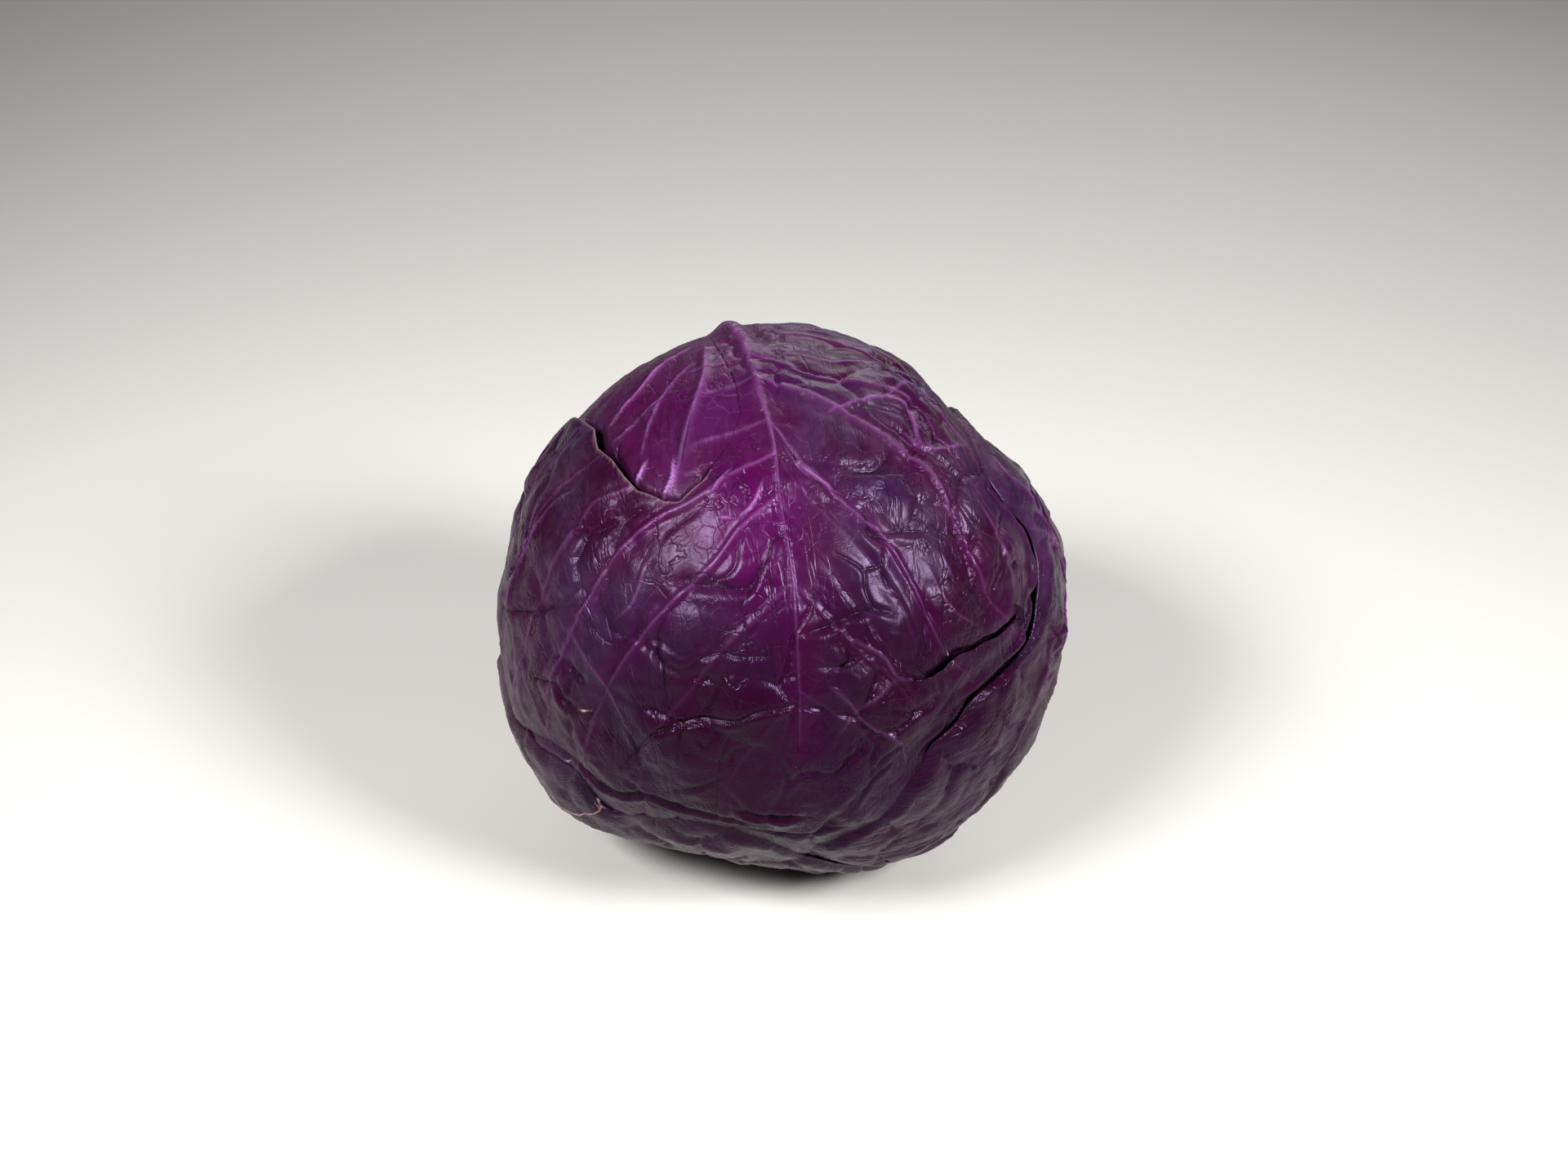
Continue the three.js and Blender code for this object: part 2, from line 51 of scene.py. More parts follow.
def direction(azimuth, elevation):
    a, e = np.radians(azimuth), np.radians(elevation)
    return np.array([np.cos(a) * np.cos(e), np.sin(a) * np.cos(e), np.sin(e)])


def unit(vectors):
    return vectors / np.maximum(np.linalg.norm(vectors, axis=-1, keepdims=True), 1e-12)


STEM_AXIS = direction(102, 32)
FRONT = direction(-90, 32)
ROUND_ZERO = unit(FRONT - FRONT @ STEM_AXIS * STEM_AXIS)
ROUND_QUARTER = np.cross(STEM_AXIS, ROUND_ZERO)

# Broad bulges and hollows: azimuth, elevation, height and width in degrees.
BULGES = [
    (3, 4, 2.2, 20), (22, 16, 1.5, 12), (30, 39, -11.0, 13), (158, 32, -0.8, 16), (180, 4, -1.6, 8),
    (188, -15, 3.6, 11), (205, -34, 7.4, 13), (252, -57, -5.6, 17), (317, -47, 4.6, 15),
    (346, -21, 2.6, 14), (60, -10, 2.0, 24), (130, -25, -1.8, 22), (80, 76, -1.4, 11),
]


def on_head(down, around):
    down, around = np.radians(down)[..., None], np.radians(around)[..., None]
    side = np.cos(around) * ROUND_ZERO + np.sin(around) * ROUND_QUARTER
    return np.cos(down) * STEM_AXIS + np.sin(down) * side


def smooth_step(start, end, values):
    t = np.clip((values - start) / (end - start), 0, 1)
    return t * t * (3 - 2 * t)


def form_radius(toward):
    radius = np.full(toward.shape[:-1], HEAD_RADIUS)
    for azimuth, elevation, height, width in BULGES:
        angle = np.degrees(np.arccos(np.clip(toward @ direction(azimuth, elevation), -1, 1)))
        radius += height * np.exp(-0.5 * (angle / width) ** 2)
    return radius


def floor_radius(toward):
    drop = -toward[..., 2]
    return np.where(drop > 0.05, HEAD_CENTRE[2] / np.maximum(drop, 0.05), 1e6)


def visible_radius(toward):
    return np.minimum(form_radius(toward), floor_radius(toward))


def clear_of_floor(toward):
    return 1 - smooth_step(-5, -0.5, form_radius(toward) - floor_radius(toward))


# Pattern of a leaf
# Each leaf is drawn flat about its own middle, x round the stem and y away from it, and then
# wrapped on the head. Its side ribs are curves from the midrib to the margin, and the blade
# between two ribs is a smooth blend of them.
# A leaf begins this many degrees from the stem's axis. Its margin waves by this share of a
# rib's length, and each gap between two ribs is drawn in this many parts.
BASE_DOWN = 11.8
MARGIN_WAVE = 0.018
RIB_PARTS = 4


class Pattern:
    def __init__(self, down, around):
        here = lambda d, a: on_head(np.array(d), np.array(a))
        self.middle = here(float(down), float(around))
        self.away = unit(here(down + 0.1, around) - here(down - 0.1, around))
        self.across = unit(here(down, around + 0.1) - here(down, around - 0.1))

    def wrap(self, flat):
        length = np.linalg.norm(flat, axis=-1, keepdims=True) + 1e-9
        angle = length / HEAD_RADIUS
        along = self.across * flat[..., :1] / length + self.away * flat[..., 1:] / length
        return np.cos(angle) * self.middle + np.sin(angle) * along

    def lay_flat(self, toward):
        angle = np.arccos(np.clip(toward @ self.middle, -1, 1))
        flat = np.stack([toward @ self.across, toward @ self.away], axis=-1)
        length = np.linalg.norm(flat, axis=-1, keepdims=True) + 1e-9
        return flat / length * (angle * HEAD_RADIUS)[..., None]

    def places(self, places):
        down, around = np.array(places, float).T
        return self.lay_flat(on_head(down, around))

    def base_arc(self, midrib_round, corner_round):
        around = np.linspace(midrib_round, corner_round, 5)
        return self.lay_flat(on_head(np.full(5, BASE_DOWN), around))


def curve_through(points):
    """Smooth curve through points, read at even shares of its length."""
    points = np.asarray(points, float)
    points = np.vstack([2 * points[0] - points[1], points, 2 * points[-1] - points[-2]])
    t = np.linspace(0, 1, 24, endpoint=False)[:, None]
    line = []
    for p0, p1, p2, p3 in zip(points, points[1:], points[2:], points[3:]):
        d0, d1, d2 = (max(np.sum((b - a) ** 2) ** 0.25, 1e-4) for a, b in ((p0, p1), (p1, p2), (p2, p3)))
        leave = ((p1 - p0) / d0 - (p2 - p0) / (d0 + d1) + (p2 - p1) / d1) * d1
        arrive = ((p2 - p1) / d1 - (p3 - p1) / (d1 + d2) + (p3 - p2) / d2) * d1
        bend = 3 * (p2 - p1) - 2 * leave - arrive
        line.append(p1 + leave * t + bend * t**2 + (leave + arrive - 2 * (p2 - p1)) * t**3)
    line = np.vstack(line + [points[-2:-1]])
    reach = np.r_[0, np.cumsum(np.linalg.norm(np.diff(line, axis=0), axis=1))]

    def at(share):
        spots = np.clip(share, 0, 1) * reach[-1]
        return np.stack([np.interp(spots, reach, line[:, k]) for k in (0, 1)], -1)

    return at


def ribs_between(midrib, margin, count):
    along, edge = curve_through(midrib), curve_through(margin)
    ribs = []
    for index in np.arange(count * RIB_PARTS + 1) / RIB_PARTS:
        share = index / count
        start, rim = along(share), edge(1 - (1 - share) ** 1.45)
        end = start + (rim - start) * (1 + MARGIN_WAVE * math.sin(2.4 * index))
        bow = 0.1 * (1 - share) * (math.copysign(1, end[0] - start[0]))
        span = end - start
        ribs.append([start, (start + end) / 2 + bow * np.array([span[1], -span[0]]), end])
    return ribs


def plain_leaf(pattern, midrib, right, left, count):
    halves = []
    for margin in (right, left):
        ribs = ribs_between(pattern.places(midrib), pattern.places(margin), count)
        ribs[0] = pattern.base_arc(midrib[0][1], margin[0][1])
        halves.append(ribs)
    return halves


def blade(ribs):
    """Places of one half of a leaf: rows run along the ribs, columns across them."""
    curves = [curve_through(rib) for rib in ribs]
    last = len(curves) - 1

    def at(rows, share):
        lines = np.stack([curve(share) for curve in curves])
        index = np.minimum(np.floor(rows).astype(int), last - 1)
        t = (rows - index)[:, None, None]
        a, b, c, d = (lines[np.clip(index + offset, 0, last)] for offset in (-1, 0, 1, 2))
        rise = (c - a) * t + (2 * a - 5 * b + 4 * c - d) * t**2 + (3 * (b - c) + d - a) * t**3
        return b + 0.5 * rise

    return at


def outline_of(halves, parts):
    right, left = (blade(ribs) for ribs in halves)
    rows = np.linspace(0, len(halves[0]) - 1, (len(halves[0]) - 1) * 8 // parts + 1)
    edges = [right(rows, np.array([1.0]))[:, 0], left(rows[::-1], np.array([1.0]))[1:, 0]]
    base = np.array([0.66, 0.33, 0])
    start = np.array([0.0])
    return np.vstack(edges + [left(start, base)[0], right(start, base[-2::-1])[0]])


def outside_distance(outline, flat):
    """Distance from an outline, negative inside it."""
    inside = np.zeros(len(flat), bool)
    nearest = np.full(len(flat), 1e9)
    for (ax, ay), (bx, by) in zip(np.roll(outline, 1, axis=0), outline):
        x, y = flat[:, 0], flat[:, 1]
        if ay != by:
            inside ^= ((ay > y) != (by > y)) & (x < (bx - ax) * (y - ay) / (by - ay) + ax)
        length = max((bx - ax) ** 2 + (by - ay) ** 2, 1e-9)
        t = np.clip(((x - ax) * (bx - ax) + (y - ay) * (by - ay)) / length, 0, 1)
        nearest = np.minimum(nearest, np.hypot(x - ax - t * (bx - ax), y - ay - t * (by - ay)))
    return np.where(inside, -nearest, nearest)


# Leaves of the head, drawn
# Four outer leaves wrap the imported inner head, each over the one before: the left one, the
# torn front one, the right one, and the one the head lies on, which also wraps the bottom.
FRONT_TIP = [[-3, 92], [-6, 118], [-6, 156]]
front_pattern = Pattern(80, 0)
front_halves = [
    [
        front_pattern.base_arc(0, 66),
        [[1, -75], [22, -80], [48, -88], [66, -92]],
        [[3, -60], [28, -62], [58, -58], [90, -42]],
        [[4, -46], [15, -47], [27, -46], [41, -37], [51, -21], [62, -5], [73, 8], [98, 26]],
        [[5, -32], [12, -26], [23, -18], [36, -15], [48, -12], [56, 2], [70, 22], [99, 44]],
        [[6, -19], [18, -10], [30, -1], [42, 9], [51, 17], [56, 28], [62, 42], [70, 52], [94, 64]],
        [[7, -2], [12, 12], [22, 26], [32, 36], [38, 46], [42, 55], [50, 69], [84, 88]],
        [[7, 10], [12, 22], [20, 33], [28, 44], [35, 56], [42, 70], [80, 98]],
        [[6, 22], [10, 32], [16, 43], [23, 55], [31, 68], [76, 108]],
        [[5, 46], [9, 52], [14, 58], [22, 68], [31, 76], [66, 124]],
        [[1, 75], [11, 84], [20, 92], [46, 146]],
        FRONT_TIP,
    ],
    [
        front_pattern.base_arc(0, -66),
        [[1, -75], [-22, -80], [-50, -88], [-76, -90]],
        [[3, -60], [-22, -62], [-52, -68], [-98, -70]],
        [[4, -46], [-20, -46], [-50, -50], [-84, -50], [-116, -46]],
        [[5, -32], [-20, -30], [-46, -30], [-66, -27], [-94, -22], [-130, -20]],
        [[6, -19], [-20, -14], [-42, -9], [-56, -10], [-73, -4], [-86, 2], [-106, 6], [-138, 6]],
        [[7, -2], [-16, 3], [-35, 7], [-48, 6], [-64, 15], [-78, 22], [-94, 29], [-136, 32]],
        [[7, 10], [-6, 14], [-17, 18], [-30, 20], [-42, 24], [-63, 36], [-91, 50], [-120, 66]],
        [[6, 22], [-7, 30], [-16, 37], [-27, 42], [-42, 49], [-60, 58], [-103, 84]],
        [[5, 46], [-8, 54], [-20, 60], [-33, 68], [-49, 76], [-86, 108]],
        [[1, 75], [-14, 86], [-30, 98], [-54, 136]],
        FRONT_TIP,
    ],
]
left_pattern = Pattern(85, -112)
left_halves = plain_leaf(
    left_pattern,
    [[BASE_DOWN, -112], [40, -113], [80, -114], [115, -112], [140, -108]],
    [[BASE_DOWN, -62], [30, -66], [55, -68], [80, -72], [105, -72], [130, -80], [150, -100], [154, -118]],
    [[BASE_DOWN, -172], [30, -178], [60, -176], [90, -170], [120, -160], [144, -140], [154, -118]],
    7,
)
right_pattern = Pattern(88, 108)
right_halves = plain_leaf(
    right_pattern,
    [[BASE_DOWN, 110], [40, 112], [80, 112], [115, 108], [150, 100]],
    [[BASE_DOWN, 172], [30, 178], [60, 176], [90, 166], [120, 158], [142, 152], [155, 150], [172, 172]],
    [[BASE_DOWN, 70], [30, 72], [52, 65], [70, 53], [76, 48], [83, 50.5], [88, 50.5], [93, 54], [95, 60],
     [97, 65], [98.5, 69], [103, 68.5], [106, 71], [112, 68], [116, 69.5], [120, 71], [122, 67], [125, 65],
     [128, 61], [132, 56], [136, 51], [138, 50], [142, 49], [143, 46], [146, 44], [149, 45], [154, 43],
     [160, 45], [165, 44], [170, 30], [174, -40], [175, -160], [172, 172]],
    8,
)
back_pattern = Pattern(108, -176)
back_halves = plain_leaf(
    back_pattern,
    [[BASE_DOWN, -176], [50, -178], [90, -179], [130, 180], [145, 178], [153, 170]],
    [[BASE_DOWN, -238], [30, -246], [60, -246], [90, -255], [109, -267], [120, -268], [130, -269],
     [138, -264], [146, -246], [153, -235], [158, -218], [160, -200]],
    [[BASE_DOWN, -118], [35, -112], [60, -102], [85, -93], [96, -86], [102, -87.5], [106, -89], [112, -83],
     [118, -79], [122, -75], [126, -74], [128.5, -77], [130.5, -81], [132.2, -85], [136, -83], [142, -75],
     [150, -62], [157, -52], [164, -46], [169, -50], [174, -75], [176, -150], [170, 175], [160, 160]],
    9,
)
PLAIN_RIBS = [0.5, 0.7, 0.45, 0.65, 0.4, 0.6, 0.45, 0.5, 0.4, 0.3]
FRONT_RIBS = [
    [0.4, 0.4, 0.5, 0.8, 0.6, 1.0, 0.9, 0.2, 0.15, 0.35, 0.3, 0.2],
    [0.4, 0.4, 0.4, 0.5, 0.5, 0.6, 0.7, 0.9, 0.9, 0.4, 0.2, 0.2],
]
LEAVES = [
    {"name": "leaf_left", "pattern": left_pattern, "halves": left_halves, "midrib": 3.6},
    {"name": "leaf_front", "pattern": front_pattern, "halves": front_halves, "midrib": 1.8,
     "ribs": FRONT_RIBS},
    {"name": "leaf_right", "pattern": right_pattern, "halves": right_halves, "midrib": 4.0},
    {"name": "leaf_back", "pattern": back_pattern, "halves": back_halves, "midrib": 4.8},
]
for leaf in LEAVES:
    leaf["parts"] = 1 if "ribs" in leaf else RIB_PARTS
    leaf["outline"] = outline_of(leaf["halves"], leaf["parts"])

# The torn window and the slit of the front leaf, drawn flat.
WINDOW_INNER_SIDE = [[-7, -84], [-6, -66], [-4, -48], [-2, -34], [0, -20], [0, -7], [-4, 2], [-10, 9]]
WINDOW = np.array(WINDOW_INNER_SIDE + [
    [-13, 12.5], [-18, 15], [-21, 17], [-25, 15.5], [-28, 12.5], [-32, 9], [-35, 3], [-38, -5],
    [-42.5, -13], [-43, -22], [-50, -36], [-57, -50], [-66, -60], [-66, -72], [-50, -86], [-28, -90],
], float)
SLIT = np.array([
    [37, 75.5], [41, 74.9], [46, 73.2], [50, 70.0], [54.6, 67.4], [60, 66.0], [65.6, 62.9], [71, 61.0],
    [76.6, 57.3], [80, 54.9], [83, 52.7], [84.2, 53.8], [80.9, 56.5], [77.6, 58.9], [71.8, 62.7],
    [66.5, 64.5], [60.7, 67.5], [55.4, 68.9], [51, 71.6], [46.8, 74.6], [41.5, 76.2], [38, 76.7],
])
CUTS = {"leaf_front": [WINDOW, SLIT]}

# Fine veins of a leaf: height, width, paleness and the line drawn flat.
VEINS = {
    "leaf_front": [
        (0.3, 0.8, 0.25, [[5, -17], [7, 3], [6, 19]]), (0.4, 0.8, 0.3, [[16, -30], [31, -27], [45, -29]]),
        (0.5, 0.8, 0.5, [[24, -3], [34, -8], [41, -10], [47, -9], [49, 7]]),
        (0.4, 0.7, 0.35, [[41, -10], [49, -18], [59, -21]]),
        (0.8, 1.0, 0.4, [[45, 3], [49, 7], [53, 7], [59, 5], [66, 1]]),
        (0.7, 0.5, 0.8, [[-6, 12], [-9, 15], [-12, 18]]), (0.7, 0.5, 0.9, [[2, 18], [-1, 23], [-5, 26]]),
        (0.7, 0.5, 0.8, [[12, 14], [15, 18], [21, 23]]), (0.4, 0.5, 0.7, [[-11, 25], [-8, 26]]),
        (0.7, 0.9, 0.3, [[-62, -13], [-75, -5], [-80, -1], [-93, 10]]),
        (0.6, 0.8, 0.3, [[-54, -5], [-62, -5], [-70, -2], [-79, 0], [-85, 3]]),
        (0.5, 0.7, 0.3, [[-27, 24], [-30, 29], [-34, 31], [-37, 35], [-41, 39], [-47, 41]]),
        (0.6, 0.9, 0.5, [[11, 76], [16, 81], [18, 85], [22, 89], [32, 95], [35, 103]]),
        (0.5, 0.7, 0.45, [[17, 84], [11, 90]]), (0.4, 0.7, 0.4, [[20, 64], [28, 69], [32, 75], [37, 76]]),
        (0.4, 0.7, 0.35, [[32, 75], [21, 82], [17, 84]]), (0.4, 0.6, 0.3, [[50, 40], [53, 47]]),
        (0.5, 0.8, 0.3, [[66, 22], [74, 34], [80, 47]]),
        (0.4, 0.7, 0.25, [[-66, 37], [-60, 52], [-58, 70]]),
        (0.5, 0.7, 0.25, [[-95, 26], [-98, 40], [-101, 55]]),
        (0.4, 0.6, 0.25, [[45, 44], [52, 56], [62, 60]]),
    ],
    "leaf_right": [
        (1.0, 1.3, 0.45, [[-61, 12], [-48, 11], [-38, 15], [-34, 24], [-35, 38], [-37, 52], [-28, 64],
                          [-20, 75], [-3, 80]]),
        (0.9, 1.2, 0.4, [[-76, -12], [-72, -3], [-61, 3], [-49, 8], [-32, 14]]),
        (0.6, 0.9, 0.3, [[-52, 60], [-44, 69], [-36, 81], [-23, 91]]),
    ],
    "leaf_back": [
        (0.6, 0.9, 0.3, [[77, 77], [58, 96], [36, 105]]), (0.5, 0.9, 0.3, [[95, 20], [88, 40], [74, 62]]),
    ],
}

# Creases of a leaf: depth, width, darkness of its painted shade and the line drawn flat, left to right.
CREASES = {
    "leaf_front": [
        (1.9, 3.0, 0.12, [[6, -74], [8, -60], [10, -47], [11, -36]]),
        (1.6, 1.5, 1.0, [[70, -2], [75, 10], [84, 16], [93, 21], [97, 31], [98, 37], [91, 48], [90, 57],
                         [91, 63], [82, 69], [67, 80], [56, 87], [51, 95], [42, 102]]),
        (1.0, 0.9, 0.8, [[-37, 36], [-34, 32], [-30, 29], [-27, 25], [-22, 23], [-16, 21]]),
        (1.2, 0.9, 0.9, [[-34, 47], [-36, 49], [-38, 55], [-38, 60], [-42, 71]]),
        (1.3, 0.9, 0.95, [[-68, 81], [-58, 78], [-49, 75], [-38, 75], [-31, 76], [-20, 79], [-14, 78],
                          [0, 79]]),
        (1.0, 0.8, 0.9, [[-38, 75], [-43, 85]]),
        (1.1, 1.1, 0.5, [[-105, 3], [-78, 23], [-69, 27], [-58, 32]]),
        (1.5, 1.6, 0.9, [[-25, 39], [-17, 42], [-8, 45], [-4, 42]]),
        (0.8, 0.9, 0.7, [[-25, 38], [-19, 38], [-15, 41], [-10, 39], [-8, 34]]),
        (1.0, 1.0, 0.85, [[-11, 50], [-7, 46], [-4, 42], [-1, 39], [1, 35], [6, 32]]),
        (1.3, 1.3, 0.85, [[6, 60], [13, 59], [19, 57], [27, 56], [33, 57]]),
        (0.7, 0.7, 0.8, [[18, 40], [25, 45], [25, 50], [26, 54], [29, 57]]),
        (0.7, 0.7, 0.8, [[25, 45], [30, 44], [32, 41]]), (0.6, 0.7, 0.7, [[30, 44], [32, 50]]),
        (1.0, 0.7, 0.9, [[17, 65], [17, 69], [14, 71]]), (1.6, 1.5, 0.9, [[28, 29], [29, 35], [34, 38]]),
        (1.2, 1.0, 0.8, [[29, 35], [36, 35], [45, 34]]),
        (1.2, 1.1, 0.7, [[43, 29], [45, 31], [51, 33], [53, 34], [61, 33], [63, 35]]),
        (1.1, 1.6, 0.5, [[28, 24], [32, 26], [35, 32], [39, 34], [51, 34]]),
        (1.6, 1.6, 0.9, [[27, 17], [34, 16], [37, 13], [39, 10]]),
        (0.8, 0.7, 0.7, [[27, 18], [36, 18], [47, 16]]),
        (1.5, 1.6, 0.8, [[-78, 47], [-79, 52], [-75, 58]]),
        (1.0, 0.9, 0.8, [[-79, 67], [-71, 62], [-64, 60], [-59, 57], [-53, 53]]),
        (0.9, 0.8, 0.7, [[-34, 61], [-30, 61], [-26, 60], [-19, 60], [-15, 62], [-6, 64]]),
        (0.9, 0.8, 0.7, [[-42, 112], [-37, 103], [-32, 93], [-27, 86], [-22, 81]]),
        (0.8, 0.7, 0.8, [[-34, 81], [-33, 84]]), (0.9, 0.8, 0.7, [[-51, 95], [-39, 96], [-31, 95]]),
        (1.5, 1.3, 0.9, [[-30, 108], [-18, 113], [-7, 116]]),
        (0.8, 0.8, 0.7, [[13, 115], [21, 108], [29, 102]]),
        (0.9, 0.9, 0.7, [[22, 104], [26, 100], [34, 95]]), (0.9, 0.9, 0.7, [[11, 90], [14, 87], [17, 89]]),
        (0.9, 0.8, 0.7, [[74, 63], [77, 69], [80, 72]]), (0.8, 0.7, 0.8, [[-26, -18], [-24, -18]]),
        (0.8, 0.7, 0.8, [[32, -6], [36, -5]]), (1.3, 1.3, 0.8, [[34, 121], [37, 124]]),
        (1.4, 1.3, 0.9, [[-126, 36], [-115, 49], [-105, 58], [-98, 66], [-93, 71], [-88, 78], [-78, 89],
                         [-65, 95], [-49, 105], [-34, 112], [-22, 116]]),
        (0.8, 0.9, 0.6, [[-92, 38], [-84, 44], [-78, 47]]),
        (0.8, 0.8, 0.6, [[-62, 66], [-58, 74], [-60, 82]]),
        (0.8, 0.9, 0.6, [[56, 46], [62, 52], [70, 56]]), (0.7, 0.8, 0.5, [[58, 74], [52, 84], [44, 92]]),
        (0.8, 0.9, 0.6, [[30, 84], [40, 86], [47, 82]]), (0.6, 0.7, 0.5, [[-58, 36], [-54, 44], [-48, 50]]),
    ],
    "leaf_back": [
        (0.9, 0.9, 0.6, [[54, 114], [67, 104]]), (0.9, 1.0, 0.7, [[111, 35], [106, 39], [101, 43]]),
    ],
}

# Torn places where the pale inside of the leaf shows: width and the line drawn flat.
TEARS = {
    "leaf_front": [(0.5, [[-73, 59], [-71, 60]]), (0.5, [[-100, 68], [-98, 69]]),
                   (0.6, [[51, 69], [52, 71]])],
    "leaf_back": [
        (0.8, back_pattern.places([[119.9, -93], [122, -97], [125, -97], [129, -92], [132.2, -86]])),
        (0.8, back_pattern.places([[126, -75], [128.5, -78], [130.5, -82], [132.2, -86]])),
    ],
    "leaf_right": [(0.6, [[-19, 68], [-19, 70], [-17, 72]])],
}

# Smooth places of the front leaf, where its shine is broad: the middle and how far it reaches.
CALM = [(-22, 20, 9), (-19, 31, 14), (-12, 49, 11), (22, 37, 12), (31, 46, 15), (43, 41, 10), (9, 42, 7)]


def top_bloom_and_sheen(toward):
    """The bloom is thickest near the stem, and a painted sheen greys the top of the head too."""
    down = np.degrees(np.arccos(np.clip(toward @ STEM_AXIS, -1, 1)))
    return 0.7 * (1 - smooth_step(13, 24, down)) + 0.5 * (1 - smooth_step(20, 62, down))


def lower_shade_share(toward):
    """Share of painted shade: none to 92 degrees from the stem, full past 138; the lower half is darker."""
    return smooth_step(92, 138, np.degrees(np.arccos(np.clip(toward @ STEM_AXIS, -1, 1))))


def cover_of(leaf, toward, full, none):
    return 1 - smooth_step(full, none, outside_distance(leaf["outline"], leaf["pattern"].lay_flat(toward)))


# Leaf skin
# A cabbage leaf is a thin waxy blade: anthocyanin makes it dark purple, its ribs are paler
# and pinker, and a whitish bloom of wax dulls it except where it has been rubbed.
def linear(hex_colour):
    values = np.array([int(hex_colour[i:i + 2], 16) for i in (1, 3, 5)]) / 255
    return (*np.where(values <= 0.04045, values / 12.92, ((values + 0.055) / 1.055) ** 2.4), 1.0)


def add_node(tree, kind, inputs=None, output=0, **settings):
    """Adds a node with its settings and links, and gives back one of its outputs."""
    node = tree.nodes.new(kind)
    for name, value in settings.items():
        setattr(node, name, value)
    for name, value in (inputs or {}).items():
        if isinstance(value, bpy.types.NodeSocket):
            tree.links.new(value, node.inputs[name])
        else:
            node.inputs[name].default_value = value
    return node.outputs[output] if node.outputs else None


MATH = "ShaderNodeMath"
VECTORS = "ShaderNodeVectorMath"
RANGE = "ShaderNodeMapRange"
NOISE = "ShaderNodeTexNoise"
CELLS = "ShaderNodeTexVoronoi"
SHADOW = linear("#150712")
LOWER_SHADE = linear("#1a0312")
TORN_PALE = linear("#b79a9c")
BLOOM = linear("#67596c")

# Values that the mesh carries: shares from 0 to 1, and for line, vein and tear the signed
# distance in millimetres to the nearest drawn one.
SKIN_MASKS = ("rib", "fresh", "painted_shade", "torn", "bloom_and_sheen_top", "painted_lower_shade", "line", "fold", "vein", "vein_pale",
              "tear", "tear_pale")
# Patches on the skin: scale, detail and roughness of a noise, then the range of it that is
# used and what that range stands for. A scale of 50 makes patches of about 20 mm.
SKIN_PATCHES = {
    "violet": (33.0, 3.0, 0.55, 0.42, 0.6, 0.0, 1.0),
    "rubbed": (70.0, 4.0, 0.55, 0.2, 0.55, 0.55, 1.0),
    "netted": (60.0, 3.0, 0.55, 0.45, 0.7, 0.0, 1.0),
    "vein_strength": (260.0, 3.0, 0.55, 0.3, 0.6, 0.4, 1.0),
    "crease_width": (260.0, 3.0, 0.55, 0.35, 0.65, 0.25, 0.7),
    "bloom": (48.0, 6.0, 0.62, 0.4, 0.68, 0.0, 1.0),
    "bloom_specks": (420.0, 4.0, 0.55, 0.3, 0.6, 0.6, 1.0),
    "bloom_and_sheen_specks": (36.0, 4.0, 0.55, 0.3, 0.65, 0.6, 2.6),
    "dried": (40.0, 2.0, 0.55, 0.4, 0.6, 0.0, 1.0),
    "streaked": (27.0, 2.0, 0.55, 0.42, 0.56, 0.0, 1.0),
    "grained": (42.0, 2.0, 0.55, 0.5, 0.62, 0.0, 1.0),
    "rough": (75.0, 2.0, 0.55, 0.42, 0.58, 0.08, 0.36),
    "smeared": (150.0, 5.0, 0.55, 0.3, 0.7, -0.07, 0.08),
}


